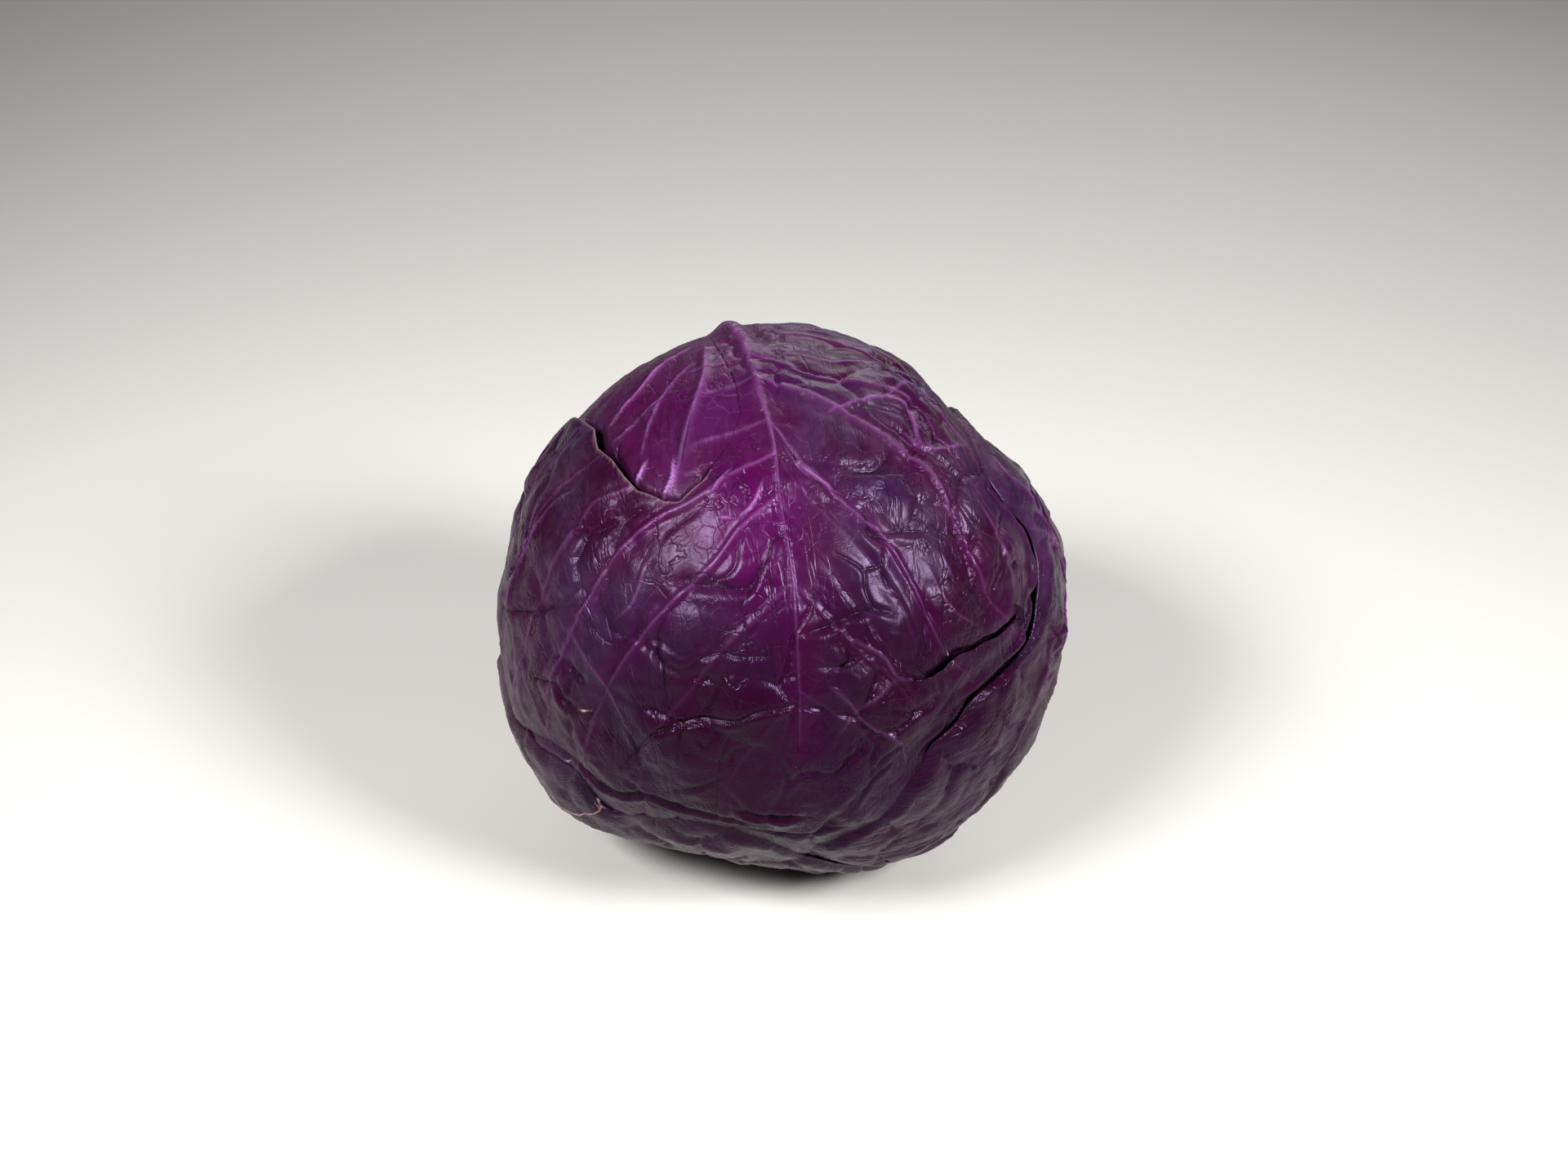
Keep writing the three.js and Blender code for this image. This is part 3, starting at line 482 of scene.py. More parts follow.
def skin_marks(add, place):
    """The marks of the skin by name, from the mesh's values and from patterns of its own."""
    marks = {name: add("ShaderNodeAttribute", output="Fac", attribute_name=name) for name in SKIN_MASKS}
    for name, (scale, detail, rough, low, high, to_low, to_high) in SKIN_PATCHES.items():
        noise = add(NOISE, {"Vector": place, "Scale": scale, "Detail": detail, "Roughness": rough})
        marks[name] = add(RANGE, {0: noise, 1: low, 2: high, 3: to_low, 4: to_high})
    # Fine net of veins between the ribs, cells of about 5 mm.
    warp = add(NOISE, {"Vector": place, "Scale": 90.0, "Detail": 2.0}, "Color")
    warp = add(VECTORS, {0: warp, "Scale": 0.006}, operation="SCALE")
    warped = add(VECTORS, {0: place, 1: warp}, operation="ADD")
    edge = add(CELLS, {"Vector": warped, "Scale": 190.0}, "Distance", feature="DISTANCE_TO_EDGE")
    net = add(RANGE, {0: edge, 1: 0.0, 2: 0.06, 3: 1.0, 4: 0.0})
    marks["net"] = add(MATH, {0: net, 1: marks["netted"]}, operation="MULTIPLY")
    # Drawn lines: full strength within one distance in millimetres, none past another.
    # The creases and the wider band beside them carry painted shade.
    for name, line, full, none, strength, force in (
        ("drawn_vein", "vein", 0.0, 0.75, 1.0, "vein_pale"),
        ("drawn_crease", "line", 0.1, marks["crease_width"], 1.0, "fold"),
        ("shade", "line", 0.0, 1.6, 0.3, "fold"),
        ("drawn_tear", "tear", 0.15, 0.5, 1.0, "tear_pale"),
    ):
        distance = add(MATH, {0: marks[line]}, operation="ABSOLUTE")
        share = add(RANGE, {0: distance, 1: full, 2: none, 3: strength, 4: 0.0})
        marks[name] = add(MATH, {0: share, 1: marks[force]}, operation="MULTIPLY")
    vein = add(MATH, {0: marks["drawn_vein"], 1: marks["vein_strength"]}, operation="MULTIPLY")
    marks["drawn_vein"] = vein
    # Bloom: a thin grey veil, thicker in patches and speckled where it has rubbed off. Over the
    # lower half it is thinned, part of the painted shade there.
    top_veil_and_sheen = add(MATH, {0: marks["bloom_and_sheen_top"], 1: marks["bloom_and_sheen_specks"]}, operation="MULTIPLY")
    rubbed_off = add(MATH, {0: marks["fresh"], 1: -0.9, 2: 1.0}, operation="MULTIPLY_ADD")
    veil_thinned_low = add(MATH, {0: marks["painted_lower_shade"], 1: -0.75, 2: 1.0}, operation="MULTIPLY_ADD")
    veil = add(MATH, {0: marks["bloom"], 1: marks["bloom_specks"]}, operation="MULTIPLY")
    veil = add(MATH, {0: veil, 1: rubbed_off, 2: top_veil_and_sheen}, operation="MULTIPLY_ADD")
    marks["veil"] = add(MATH, {0: veil, 1: veil_thinned_low}, operation="MULTIPLY")
    # Thin wrinkles where the skin has dried, along the level lines of a 9 mm noise, and long
    # ones that run along the leaf, about 5 mm apart.
    drawn = add("ShaderNodeAttribute", output="Vector", attribute_name="drawn")
    drawn = add(VECTORS, {0: drawn, 1: (0.16, 0.03, 1.0)}, operation="MULTIPLY")
    grooves = []
    for at, scale, width, patches in ((place, 115.0, 0.022, "dried"), (drawn, 1.0, 0.03, "streaked")):
        level = add(NOISE, {"Vector": at, "Scale": scale, "Detail": 3.0, "Roughness": 0.5})
        level = add(MATH, {0: level, 1: 0.5}, operation="SUBTRACT")
        level = add(MATH, {0: level}, operation="ABSOLUTE")
        line = add(RANGE, {0: level, 1: 0.0, 2: width, 3: 1.0, 4: 0.0})
        grooves.append(add(MATH, {0: line, 1: marks[patches]}, operation="MULTIPLY"))
    marks["groove"] = add(MATH, dict(enumerate(grooves)), operation="MAXIMUM")
    # Grain of 2 mm in patches, wrinkles of 3 mm and a finer roughness of 1 mm.
    grain = add(CELLS, {"Vector": warped, "Scale": 430.0}, "Distance")
    grain = add(RANGE, {0: grain, 1: 0.0, 2: 0.6, 3: 1.0, 4: 0.0})
    marks["grain"] = add(MATH, {0: grain, 1: marks["grained"]}, operation="MULTIPLY")
    marks["wrinkle"] = add(NOISE, {"Vector": warped, "Scale": 330.0, "Detail": 5.0, "Roughness": 0.6})
    fine = add(NOISE, {"Vector": place, "Scale": 1100.0, "Detail": 4.0, "Roughness": 0.55})
    marks["fine"] = add(MATH, {0: fine, 1: marks["rough"]}, operation="MULTIPLY")
    return marks


def skin_colour(add, marks, deep, violet, bright, rib, bloom_share):
    """The colours of the skin, each laid over those before it where its mark is."""
    fresh = add(MATH, {0: marks["fresh"], 1: marks["rubbed"]}, operation="MULTIPLY")
    painted_shade = add(MATH, {0: marks["drawn_crease"], 1: 0.85}, operation="MULTIPLY")
    painted_shade = add(MATH, {0: painted_shade, 1: marks["shade"]}, operation="MAXIMUM")
    tear = add(MATH, {0: marks["drawn_tear"], 1: 0.8}, operation="MULTIPLY")
    tear = add(MATH, {0: marks["torn"], 1: tear}, operation="MAXIMUM")
    colour = linear(deep)
    for mark, strength, paint in (
        (marks["violet"], 1.0, linear(violet)),
        (fresh, 1.0, linear(bright)),
        (marks["net"], 0.06, linear(rib)),
        (marks["rib"], 0.6, linear(rib)),
        (marks["drawn_vein"], 1.0, linear(rib)),
        # The veil is real bloom and, near the stem, also a painted sheen.
        (marks["veil"], bloom_share, BLOOM),
        # Painted shade over the lower half of the head.
        (marks["painted_lower_shade"], 0.6, LOWER_SHADE),
        # Painted shade: in the gaps and under the leaf edges, then along the creases.
        (marks["painted_shade"], 0.9, SHADOW),
        (painted_shade, 1.0, SHADOW),
        (tear, 1.0, TORN_PALE),
        # The grooves of the wrinkles get painted shade.
        (marks["groove"], 0.4, SHADOW),
    ):
        share = add(MATH, {0: mark, 1: strength}, operation="MULTIPLY")
        colour = add("ShaderNodeMix", {0: share, 6: colour, 7: paint}, 2, data_type="RGBA")
    return colour


def leaf_material(name, deep, violet, bright, rib, bloom_share, roughness):
    material = bpy.data.materials.new(name)
    material.use_nodes = True
    material.node_tree.nodes.clear()
    add = lambda *what, **settings: add_node(material.node_tree, *what, **settings)
    place = add("ShaderNodeTexCoord", output="Object")
    marks = skin_marks(add, place)
    # Relief too fine for the mesh, as a bump.
    height = marks["fine"]
    for mark, rise in (("wrinkle", 0.35), ("net", -0.5), ("grain", 0.2), ("groove", -0.9),
                       ("drawn_crease", -1.6), ("drawn_vein", 0.8)):
        height = add(MATH, {0: marks[mark], 1: rise, 2: height}, operation="MULTIPLY_ADD")
    gloss = add(MATH, {0: marks["smeared"], 1: roughness}, operation="ADD")
    skin = add("ShaderNodeBsdfPrincipled", {
        "Base Color": skin_colour(add, marks, deep, violet, bright, rib, bloom_share),
        "Roughness": add(MATH, {0: marks["veil"], 1: 0.1, 2: gloss}, operation="MULTIPLY_ADD"),
        "Normal": add("ShaderNodeBump", {"Height": height, "Strength": 0.26, "Distance": 0.0009}),
        "IOR": 1.45,
        "Specular IOR Level": 0.22,
        "Specular Tint": linear("#dcccf0"),
        "Sheen Weight": 0.02,
        "Sheen Roughness": 0.5,
        "Sheen Tint": linear("#b9a6c4"),
    })
    add("ShaderNodeOutputMaterial", {"Surface": skin})
    return material


outer_skin = leaf_material("waxy_purple_leaf", "#2b0722", "#290c2e", "#480540", "#86528a", 0.2, 0.29)
# Inside the head the skin has less bloom and is redder, because no light has dried it.
inner_skin = leaf_material("fresh_purple_leaf", "#330b2c", "#35103b", "#44063a", "#9a6aa4", 0.15, 0.3)


# Puckers
# Between its ribs the blade is puckered: it bulges in soft cushions and folds in sharp
# creases, because it grew faster than its veins. The same rule is used on every leaf.
PUCKER_SIZES = ("Cushion Size", "Cushion Height", "Crease Depth", "Fold Width", "Fold Height",
                "Crumple Height", "Seed")
FOLD_WAYS = ((0.8, 0.1, 0.6), (-0.5, 0.3, 0.81), (0.25, -0.9, 0.35))


def pucker_tree():
    tree = bpy.data.node_groups.new("puckered_leaf", "GeometryNodeTree")
    tree.interface.new_socket("Leaf", in_out="INPUT", socket_type="NodeSocketGeometry")
    for name in PUCKER_SIZES:
        tree.interface.new_socket(name, in_out="INPUT", socket_type="NodeSocketFloat")
    tree.interface.new_socket("Skin", in_out="INPUT", socket_type="NodeSocketMaterial")
    tree.interface.new_socket("Leaf", in_out="OUTPUT", socket_type="NodeSocketGeometry")
    add = lambda *what, **settings: add_node(tree, *what, **settings)
    given = tree.nodes.new("NodeGroupInput").outputs
    outward = add("GeometryNodeInputNamedAttribute", {"Name": "outward"}, data_type="FLOAT_VECTOR")
    loose = add("GeometryNodeInputNamedAttribute", {"Name": "loose"}, data_type="FLOAT")
    place = add(VECTORS, {0: outward, "Scale": HEAD_RADIUS}, operation="SCALE")
    shift = add("ShaderNodeCombineXYZ", {"X": given["Seed"], "Y": given["Seed"]})
    place = add(VECTORS, {0: place, 1: shift}, operation="ADD")
    bend = add(NOISE, {"Vector": place, "Scale": 0.07, "Detail": 2.0, "Roughness": 0.5}, "Color")
    bend = add(VECTORS, {0: bend, "Scale": 9.0}, operation="SCALE")
    bent = add(VECTORS, {0: place, 1: bend}, operation="ADD")
    # Soft cushions with a groove between some of them.
    per_cushion = add(MATH, {0: 1.0, 1: given["Cushion Size"]}, operation="DIVIDE")
    edge = add(CELLS, {"Vector": bent, "Scale": per_cushion}, "Distance", feature="DISTANCE_TO_EDGE")
    cushion = add(MATH, {0: edge, 1: 2.6}, operation="MULTIPLY")
    cushion = add(MATH, {0: cushion, 1: 1.0}, operation="MINIMUM")
    cushion = add(MATH, {0: cushion, 1: 0.6}, operation="POWER")
    rise = add(MATH, {0: cushion, 1: given["Cushion Height"]}, operation="MULTIPLY")
    groove = add(MATH, {0: edge, 1: -14.0, 2: 1.0}, operation="MULTIPLY_ADD")
    groove = add(MATH, {0: groove, 1: 0.0}, operation="MAXIMUM")
    groove = add(MATH, {0: groove, 1: 1.5}, operation="POWER")
    patch = add(NOISE, {"Vector": place, "Scale": 0.045, "Detail": 1.0, "Roughness": 0.5})
    patch = add(RANGE, {0: patch, 1: 0.45, 2: 0.6})
    groove = add(MATH, {0: groove, 1: patch}, operation="MULTIPLY")
    groove = add(MATH, {0: groove, 1: given["Crease Depth"]}, operation="MULTIPLY")
    rise = add(MATH, {0: rise, 1: groove}, operation="SUBTRACT")
    # Flat facets between straight folds, in three directions, each strong only in places.
    for number, way in enumerate(FOLD_WAYS):
        along = add(VECTORS, {0: bent, 1: way}, "Value", operation="DOT_PRODUCT")
        along = add(MATH, {0: along, 1: given["Fold Width"]}, operation="DIVIDE")
        folded = add(MATH, {0: along, 1: 1.0}, operation="PINGPONG")
        folded = add(MATH, {0: folded, 1: 0.5}, operation="SUBTRACT")
        drift = add(VECTORS, {0: place, 1: (31.0 * number, 17.0, 5.0 * number)}, operation="ADD")
        patch = add(NOISE, {"Vector": drift, "Scale": 0.04, "Detail": 1.0, "Roughness": 0.5})
        patch = add(RANGE, {0: patch, 1: 0.4, 2: 0.65})
        height = add(MATH, {0: patch, 1: given["Fold Height"]}, operation="MULTIPLY")
        rise = add(MATH, {0: folded, 1: height, 2: rise}, operation="MULTIPLY_ADD")
    crumple = add(NOISE, {"Vector": bent, "Scale": 0.13, "Detail": 1.5, "Roughness": 0.5})
    crumple = add(MATH, {0: crumple, 1: 0.5}, operation="SUBTRACT")
    crumple = add(MATH, {0: crumple}, operation="ABSOLUTE")
    crumple = add(MATH, {0: crumple, 1: 4.0}, operation="MULTIPLY")
    rise = add(MATH, {0: crumple, 1: given["Crumple Height"], 2: rise}, operation="MULTIPLY_ADD")
    rise = add(MATH, {0: rise, 1: loose}, operation="MULTIPLY")
    rise = add(MATH, {0: rise, 1: MM}, operation="MULTIPLY")
    offset = add(VECTORS, {0: outward, "Scale": rise}, operation="SCALE")
    moved = add("GeometryNodeSetPosition", {"Geometry": given["Leaf"], "Offset": offset})
    real = add("GeometryNodeRealizeInstances", {"Geometry": moved})
    skinned = add("GeometryNodeSetMaterial", {"Geometry": real, "Material": given["Skin"]})
    add("NodeGroupOutput", {"Leaf": skinned})
    return tree


puckers = pucker_tree()


def pucker(piece, skin, **sizes):
    """Runs the pucker tree on a piece and keeps the result as a plain mesh."""
    modifier = piece.modifiers.new("puckers", "NODES")
    modifier.node_group = puckers
    for item in puckers.interface.items_tree:
        if item.in_out == "INPUT" and item.name in sizes:
            modifier[item.identifier] = float(sizes[item.name])
        elif item.in_out == "INPUT" and item.name == "Skin":
            modifier[item.identifier] = skin
    bpy.context.view_layer.update()
    shaped = bpy.data.meshes.new_from_object(piece.evaluated_get(bpy.context.evaluated_depsgraph_get()))
    piece.modifiers.clear()
    old, piece.data = piece.data, shaped
    bpy.data.meshes.remove(old)
    shaped.name = piece.name
    shaped.shade_smooth()


def make_piece(name, points, faces, masks, outward, drawn):
    mesh = bpy.data.meshes.new(name + "_drawn")
    mesh.from_pydata((points * MM).tolist(), [], faces)
    mesh.validate()
    for mask, values in masks.items():
        mesh.attributes.new(mask, "FLOAT", "POINT").data.foreach_set("value", values.astype(np.float32))
    for attribute, vectors in (("outward", outward),
                               ("drawn", np.column_stack([drawn, np.zeros(len(drawn))]))):
        values = mesh.attributes.new(attribute, "FLOAT_VECTOR", "POINT")
        values.data.foreach_set("vector", vectors.astype(np.float32).ravel())
    piece = bpy.data.objects.new(name, mesh)
    bpy.context.scene.collection.objects.link(piece)
    return piece


# Outer leaves
# Each is a blade about a millimetre thick with a midrib that is stout at the stem and a low
# ridge at the tip, side ribs that branch from it, and a margin that waves and droops a little.
RIB_HEIGHT = 1.4
PILLOW_HEIGHT = 0.8
MARGIN_DROOP = 0.8
RIM_THICKNESS = 0.6
LIP_SMOOTHING = 5
FINE = {"columns": 136, "row_step": 0.85}
PLAIN = {"columns": 100, "row_step": 1.15}


def nearest_on(outline, flat):
    best = np.full(len(flat), 1e9)
    found = flat.copy()
    for a, b in zip(np.roll(outline, 1, axis=0), outline):
        t = np.clip((flat - a) @ (b - a) / max((b - a) @ (b - a), 1e-9), 0, 1)[:, None]
        spot = a + t * (b - a)
        distance = np.linalg.norm(flat - spot, axis=1)
        closer = distance < best
        best[closer], found[closer] = distance[closer], spot[closer]
    return found


def stroke(points, flat, reach):
    """Vertices near a drawn line: how far from it, on which side and how far along."""
    line = curve_through(points)(np.linspace(0, 1, 6 * len(points)))
    near = np.where(np.all((flat > line.min(axis=0) - reach) & (flat < line.max(axis=0) + reach),
                           axis=1))[0]
    distance, side, along = np.full(len(near), 1e9), np.zeros(len(near)), np.zeros(len(near))
    for index, (a, b) in enumerate(zip(line, line[1:])):
        span = b - a
        t = np.clip((flat[near] - a) @ span / max(span @ span, 1e-9), 0, 1)
        gap = flat[near] - a - t[:, None] * span
        length = np.hypot(gap[:, 0], gap[:, 1])
        closer = length < distance
        distance[closer] = length[closer]
        side[closer] = np.sign(span[0] * gap[:, 1] - span[1] * gap[:, 0])[closer]
        along[closer] = ((index + t) / (len(line) - 1))[closer]
    return near, distance, side, np.sin(np.pi * np.clip(along, 0.02, 0.98)) ** 0.4


def cut_out(outline, faces, corners):
    """Cuts a shape out of the faces. Each new corner's values are a blend of its two neighbours'."""
    distance = outside_distance(outline, corners[:, :2])
    distance = np.where(np.abs(distance) < 0.06, 0.06, distance)
    gone = distance < 0
    touched = gone[faces]
    kept = faces[~touched.any(axis=1)].tolist()
    made, extra = {}, []
    for face in faces[touched.any(axis=1) & ~touched.all(axis=1)]:
        loop = []
        for a, b in zip(face, np.roll(face, -1)):
            if not gone[a]:
                loop.append(int(a))
            if gone[a] != gone[b]:
                key = (min(a, b), max(a, b))
                if key not in made:
                    made[key] = len(corners) + len(extra)
                    step = (corners[b] - corners[a]) * distance[a] / (distance[a] - distance[b])
                    extra.append(corners[a] + step)
                loop.append(made[key])
        for k in range(1, len(loop) - 1, 2):
            kept.append([loop[0], loop[k], loop[k + 1], loop[min(k + 2, len(loop) - 1)]])
    return np.array(kept), np.vstack([corners] + extra)


def nearest_line(flat, lines):
    """Signed distance to the nearest drawn line, and how strong that line is, so that the skin
    can show it finer than the mesh."""
    signed, force = np.full(len(flat), 9.0), np.zeros(len(flat))
    for strength, points in lines:
        near, distance, side, ends = stroke(points, flat, 3.0)
        closer = distance < np.abs(signed[near])
        chosen = near[closer]
        signed[chosen] = (distance * np.where(side < 0, -1, 1))[closer]
        force[chosen] = (strength * ends * (1 - smooth_step(1.2, 2.8, distance)))[closer]
    return signed, force


def draw_marks(name, flat, pale):
    """Height of the veins, creases and tears drawn on a leaf, and its fine lines."""
    height = np.zeros(len(flat))
    for rise, width, paleness, points in VEINS.get(name, []):
        near, distance, side, ends = stroke(points, flat, 4 * width)
        height[near] += rise * np.exp(-((distance / width) ** 2)) * ends
        pale[near] = np.maximum(pale[near], 0.35 * paleness * np.exp(-((distance / width) ** 2)) * ends)
    for depth, width, _, points in CREASES.get(name, []):
        near, distance, side, ends = stroke(points, flat, 6 * width)
        groove = np.clip(1 - distance / (1.3 * width), 0, 1) ** 1.2
        lip = np.exp(-(((distance - 2.0 * width) / (1.2 * width)) ** 2)) * (0.3 + 0.25 * side)
        height[near] += depth * (0.5 if depth < 1.25 else 0.8) * ends * (lip - groove)
    lines = {}
    lines["line"], lines["fold"] = nearest_line(flat, [mark[2:] for mark in CREASES.get(name, [])])
    lines["vein"], lines["vein_pale"] = nearest_line(flat, [mark[2:] for mark in VEINS.get(name, [])])
    tears = [(1.0, points) for width, points in TEARS.get(name, [])]
    lines["tear"], lines["tear_pale"] = nearest_line(flat, tears)
    for width, points in TEARS.get(name, []):
        near, distance, side, ends = stroke(points, flat, 4 * width)
        height[near] += 0.3 * np.exp(-((distance / width) ** 2)) * ends
    return height, lines


def leaf_rows(halves, row_step):
    rows = []
    for index in range(len(halves[0]) - 1):
        gaps = []
        for ribs in halves:
            near, far = ribs[index], ribs[index + 1]
            at_midrib = np.linalg.norm(np.subtract(near[0], far[0]))
            at_margin = np.linalg.norm(np.subtract(near[-1], far[-1]))
            gaps.append(0.4 * at_midrib + 0.6 * at_margin)
        count = max(3, math.ceil(max(gaps) / row_step))
        rows.append(index + np.arange(count) / count)
    return np.concatenate(rows + [[len(halves[0]) - 1.0]])


def half_grid(leaf, half, rows, share):
    """Flat places and relief of one half of a leaf, rows by columns."""
    ribs = leaf["halves"][half]
    place = blade(ribs)
    flat = place(rows, share)
    last = len(ribs) - 1
    along = (rows / last)[:, None]
    step = np.linalg.norm(np.diff(flat, axis=1), axis=2)
    reach = np.concatenate([np.zeros((len(rows), 1)), np.cumsum(step, axis=1)], axis=1)
    width = 11 * np.exp(-4.6 * along) + 1.3
    midrib = (leaf["midrib"] * np.exp(-3.6 * along) + 0.3) * np.exp(-((reach / (0.72 * width)) ** 2))
    parts = leaf["parts"]
    nearest = np.clip(np.round(rows / parts), 1, last // parts - 1).astype(int)
    crest = place(nearest * float(parts), share)
    away = np.linalg.norm(flat - crest, axis=2) * 0.9
    force = np.array(leaf.get("ribs", [PLAIN_RIBS] * 2)[half])[nearest][:, None]
    girth = 1.2 - 0.6 * share
    strength = RIB_HEIGHT * force * np.clip(1 - share, 0, 1) ** 0.6 * np.minimum(1, share * 8)
    rib = strength * np.exp(-((away / girth) ** 2))
    part = rows / parts - np.floor(rows / parts)
    pillow = PILLOW_HEIGHT * (np.sin(np.pi * part)[:, None] * np.sin(np.pi * share))
    relief = np.maximum(midrib, rib + pillow)
    midrib_pale = np.exp(-((reach / (0.3 * width)) ** 2)) * (0.34 + np.exp(-4 * along) * 0.4)
    rib_pale = 0.55 * force * np.exp(-((away / (0.45 * girth)) ** 2)) * np.clip(1 - share, 0, 1) ** 0.5
    pale = np.maximum(midrib_pale, rib_pale)
    glow = np.maximum(0.4 * force * np.exp(-((away / 5.0) ** 2)), 0.6 * np.exp(-((reach / 10.0) ** 2)))
    return flat, relief, pale, reach[:, -1:] - reach, glow


def leaf_grid(leaf):
    """The leaf drawn flat as four-cornered faces, with its cuts made. Each corner has its flat
    place, relief, paleness, distance from the margin and glow."""
    grain = FINE if leaf["name"] == "leaf_front" else PLAIN
    rows = leaf_rows(leaf["halves"], grain["row_step"])
    share = np.linspace(0, 1, grain["columns"]) ** 1.15
    grids = [half_grid(leaf, half, rows, share) for half in (0, 1)]
    count, columns = len(rows), len(share)
    right = np.arange(count * columns).reshape(count, columns)
    left = right + count * columns
    left[:, 0] = right[:, 0]
    left[-1] = right[-1]
    quads = []
    for table, turned in ((right, False), (left, True)):
        loops = np.stack([table[:-1, :-1], table[:-1, 1:], table[1:, 1:], table[1:, :-1]], -1)
        loops = loops.reshape(-1, 4)
        quads.append(loops[:, ::-1] if turned else loops)
    quads = np.concatenate(quads)
    flat = np.concatenate([grid[0].reshape(-1, 2) for grid in grids])
    values = [np.concatenate([grid[k].ravel() for grid in grids]) for k in (1, 2, 3, 4)]
    corners = np.column_stack([flat, *values])
    for outline in CUTS.get(leaf["name"], []):
        quads, corners = cut_out(outline, quads, corners)
    used = np.unique(quads)
    renumber = np.full(len(corners), -1)
    renumber[used] = np.arange(len(used))
    return renumber[quads], corners[used]


def front_details(flat, toward, relief, glow, pale):
    """What only the front leaf has. The last two results are the painted shadow in its crack
    and how much its puckers show."""
    across, down = flat.T
    # The lower lip of the slit stands up, and so does the left edge of the window.
    near, distance, side, ends = stroke(SLIT[:6] + [0, 0.4], flat, 9)
    relief[near] += ends * np.where(side > 0, 0.9, -0.5) * np.exp(-((distance / 2.6) ** 2))
    near, distance, side, ends = stroke(WINDOW[9:21], flat, 9)
    relief[near] += 1.2 * ends * np.exp(-((distance / 4.5) ** 2))
    glow = np.maximum(glow, np.exp(-(((across + 2) / 17) ** 2)) * (1 - smooth_step(25, 80, down)))
    # Toward the stem the bright colour is held back: painted shade for the top, where the lamps fall
    # strongest.
    glow = glow * (0.6 + 0.4 * smooth_step(0, 40, down))
    # Along the crack beside the right leaf the edge stands up, and the gap is painted with shadow.
    gap = outside_distance(LEAVES[2]["outline"], right_pattern.lay_flat(toward))
    beside = smooth_step(24, 34, down) * (1 - smooth_step(88, 103, down)) * (across > 30)
    wide = 1.1 + 0.9 * smooth_step(36, 46, down) * (1 - smooth_step(64, 72, down))
    ridge = 1.1 * np.exp(-(((gap - wide - 1.9) / 1.7) ** 2))
    hollow = 1.5 * (1 - smooth_step(wide - 0.6, wide + 0.5, gap))
    relief = relief + beside * (ridge - hollow)
    painted_gap_shade = beside * (1 - smooth_step(wide - 0.6, wide + 0.2, gap))
    # A thin pale line just past the gap is a painted highlight on the raised edge.
    pale = np.maximum(pale, beside * 0.3 * np.exp(-(((gap - wide - 0.7) / 0.5) ** 2)))
    calm = np.ones(len(flat))
    for x, y, reach in CALM:
        calm = calm * (1 - 0.85 * np.exp(-(np.hypot(across - x, down - y) / reach) ** 2))
    return relief, glow, pale, painted_gap_shade, calm


def close_rim(quads, shown, toward):
    """Every open edge of the outer face turns in, and a strip under it runs on inward."""
    base = len(shown)
    edges = np.concatenate([quads[:, [k, (k + 1) % 4]] for k in range(4)])
    edges = edges[edges[:, 0] != edges[:, 1]]
    keys = edges[:, 0].astype(np.int64) * base + edges[:, 1]
    back = edges[:, 1].astype(np.int64) * base + edges[:, 0]
    open_edges = edges[~np.isin(keys, back)]
    rim = np.unique(open_edges)
    order = np.full(base, -1)
    order[rim] = np.arange(len(rim))
    pull = np.zeros((base, 3))
    for a, c in (quads[:, [k, (k + 2) % 4]].T for k in range(4)):
        np.add.at(pull, a, shown[c] - shown[a])
    a, b = order[open_edges[:, 0]], order[open_edges[:, 1]]
    lip_way = unit(pull[rim])
    for _ in range(LIP_SMOOTHING):
        beside = lip_way.copy()
        np.add.at(beside, a, lip_way[b])
        np.add.at(beside, b, lip_way[a])
        lip_way = unit(beside)
    under = shown[rim] - toward[rim] * RIM_THICKNESS
    lip = under + lip_way * 4.0 - toward[rim] * 1.2
    strips = np.concatenate([
        np.stack([open_edges[:, 1], open_edges[:, 0], base + a, base + b], -1),
        np.stack([base + b, base + a, base + len(rim) + a, base + len(rim) + b], -1),
    ])
    return rim, under, lip, strips


def facing_out(faces, points, middle):
    """The faces, all turned over if the first one looks toward the middle."""
    a, b, c = (points[i] for i in faces[0][:3])
    if np.dot(np.cross(b - a, c - a), a - middle) < 0:
        return [face[::-1] for face in faces]
    return faces


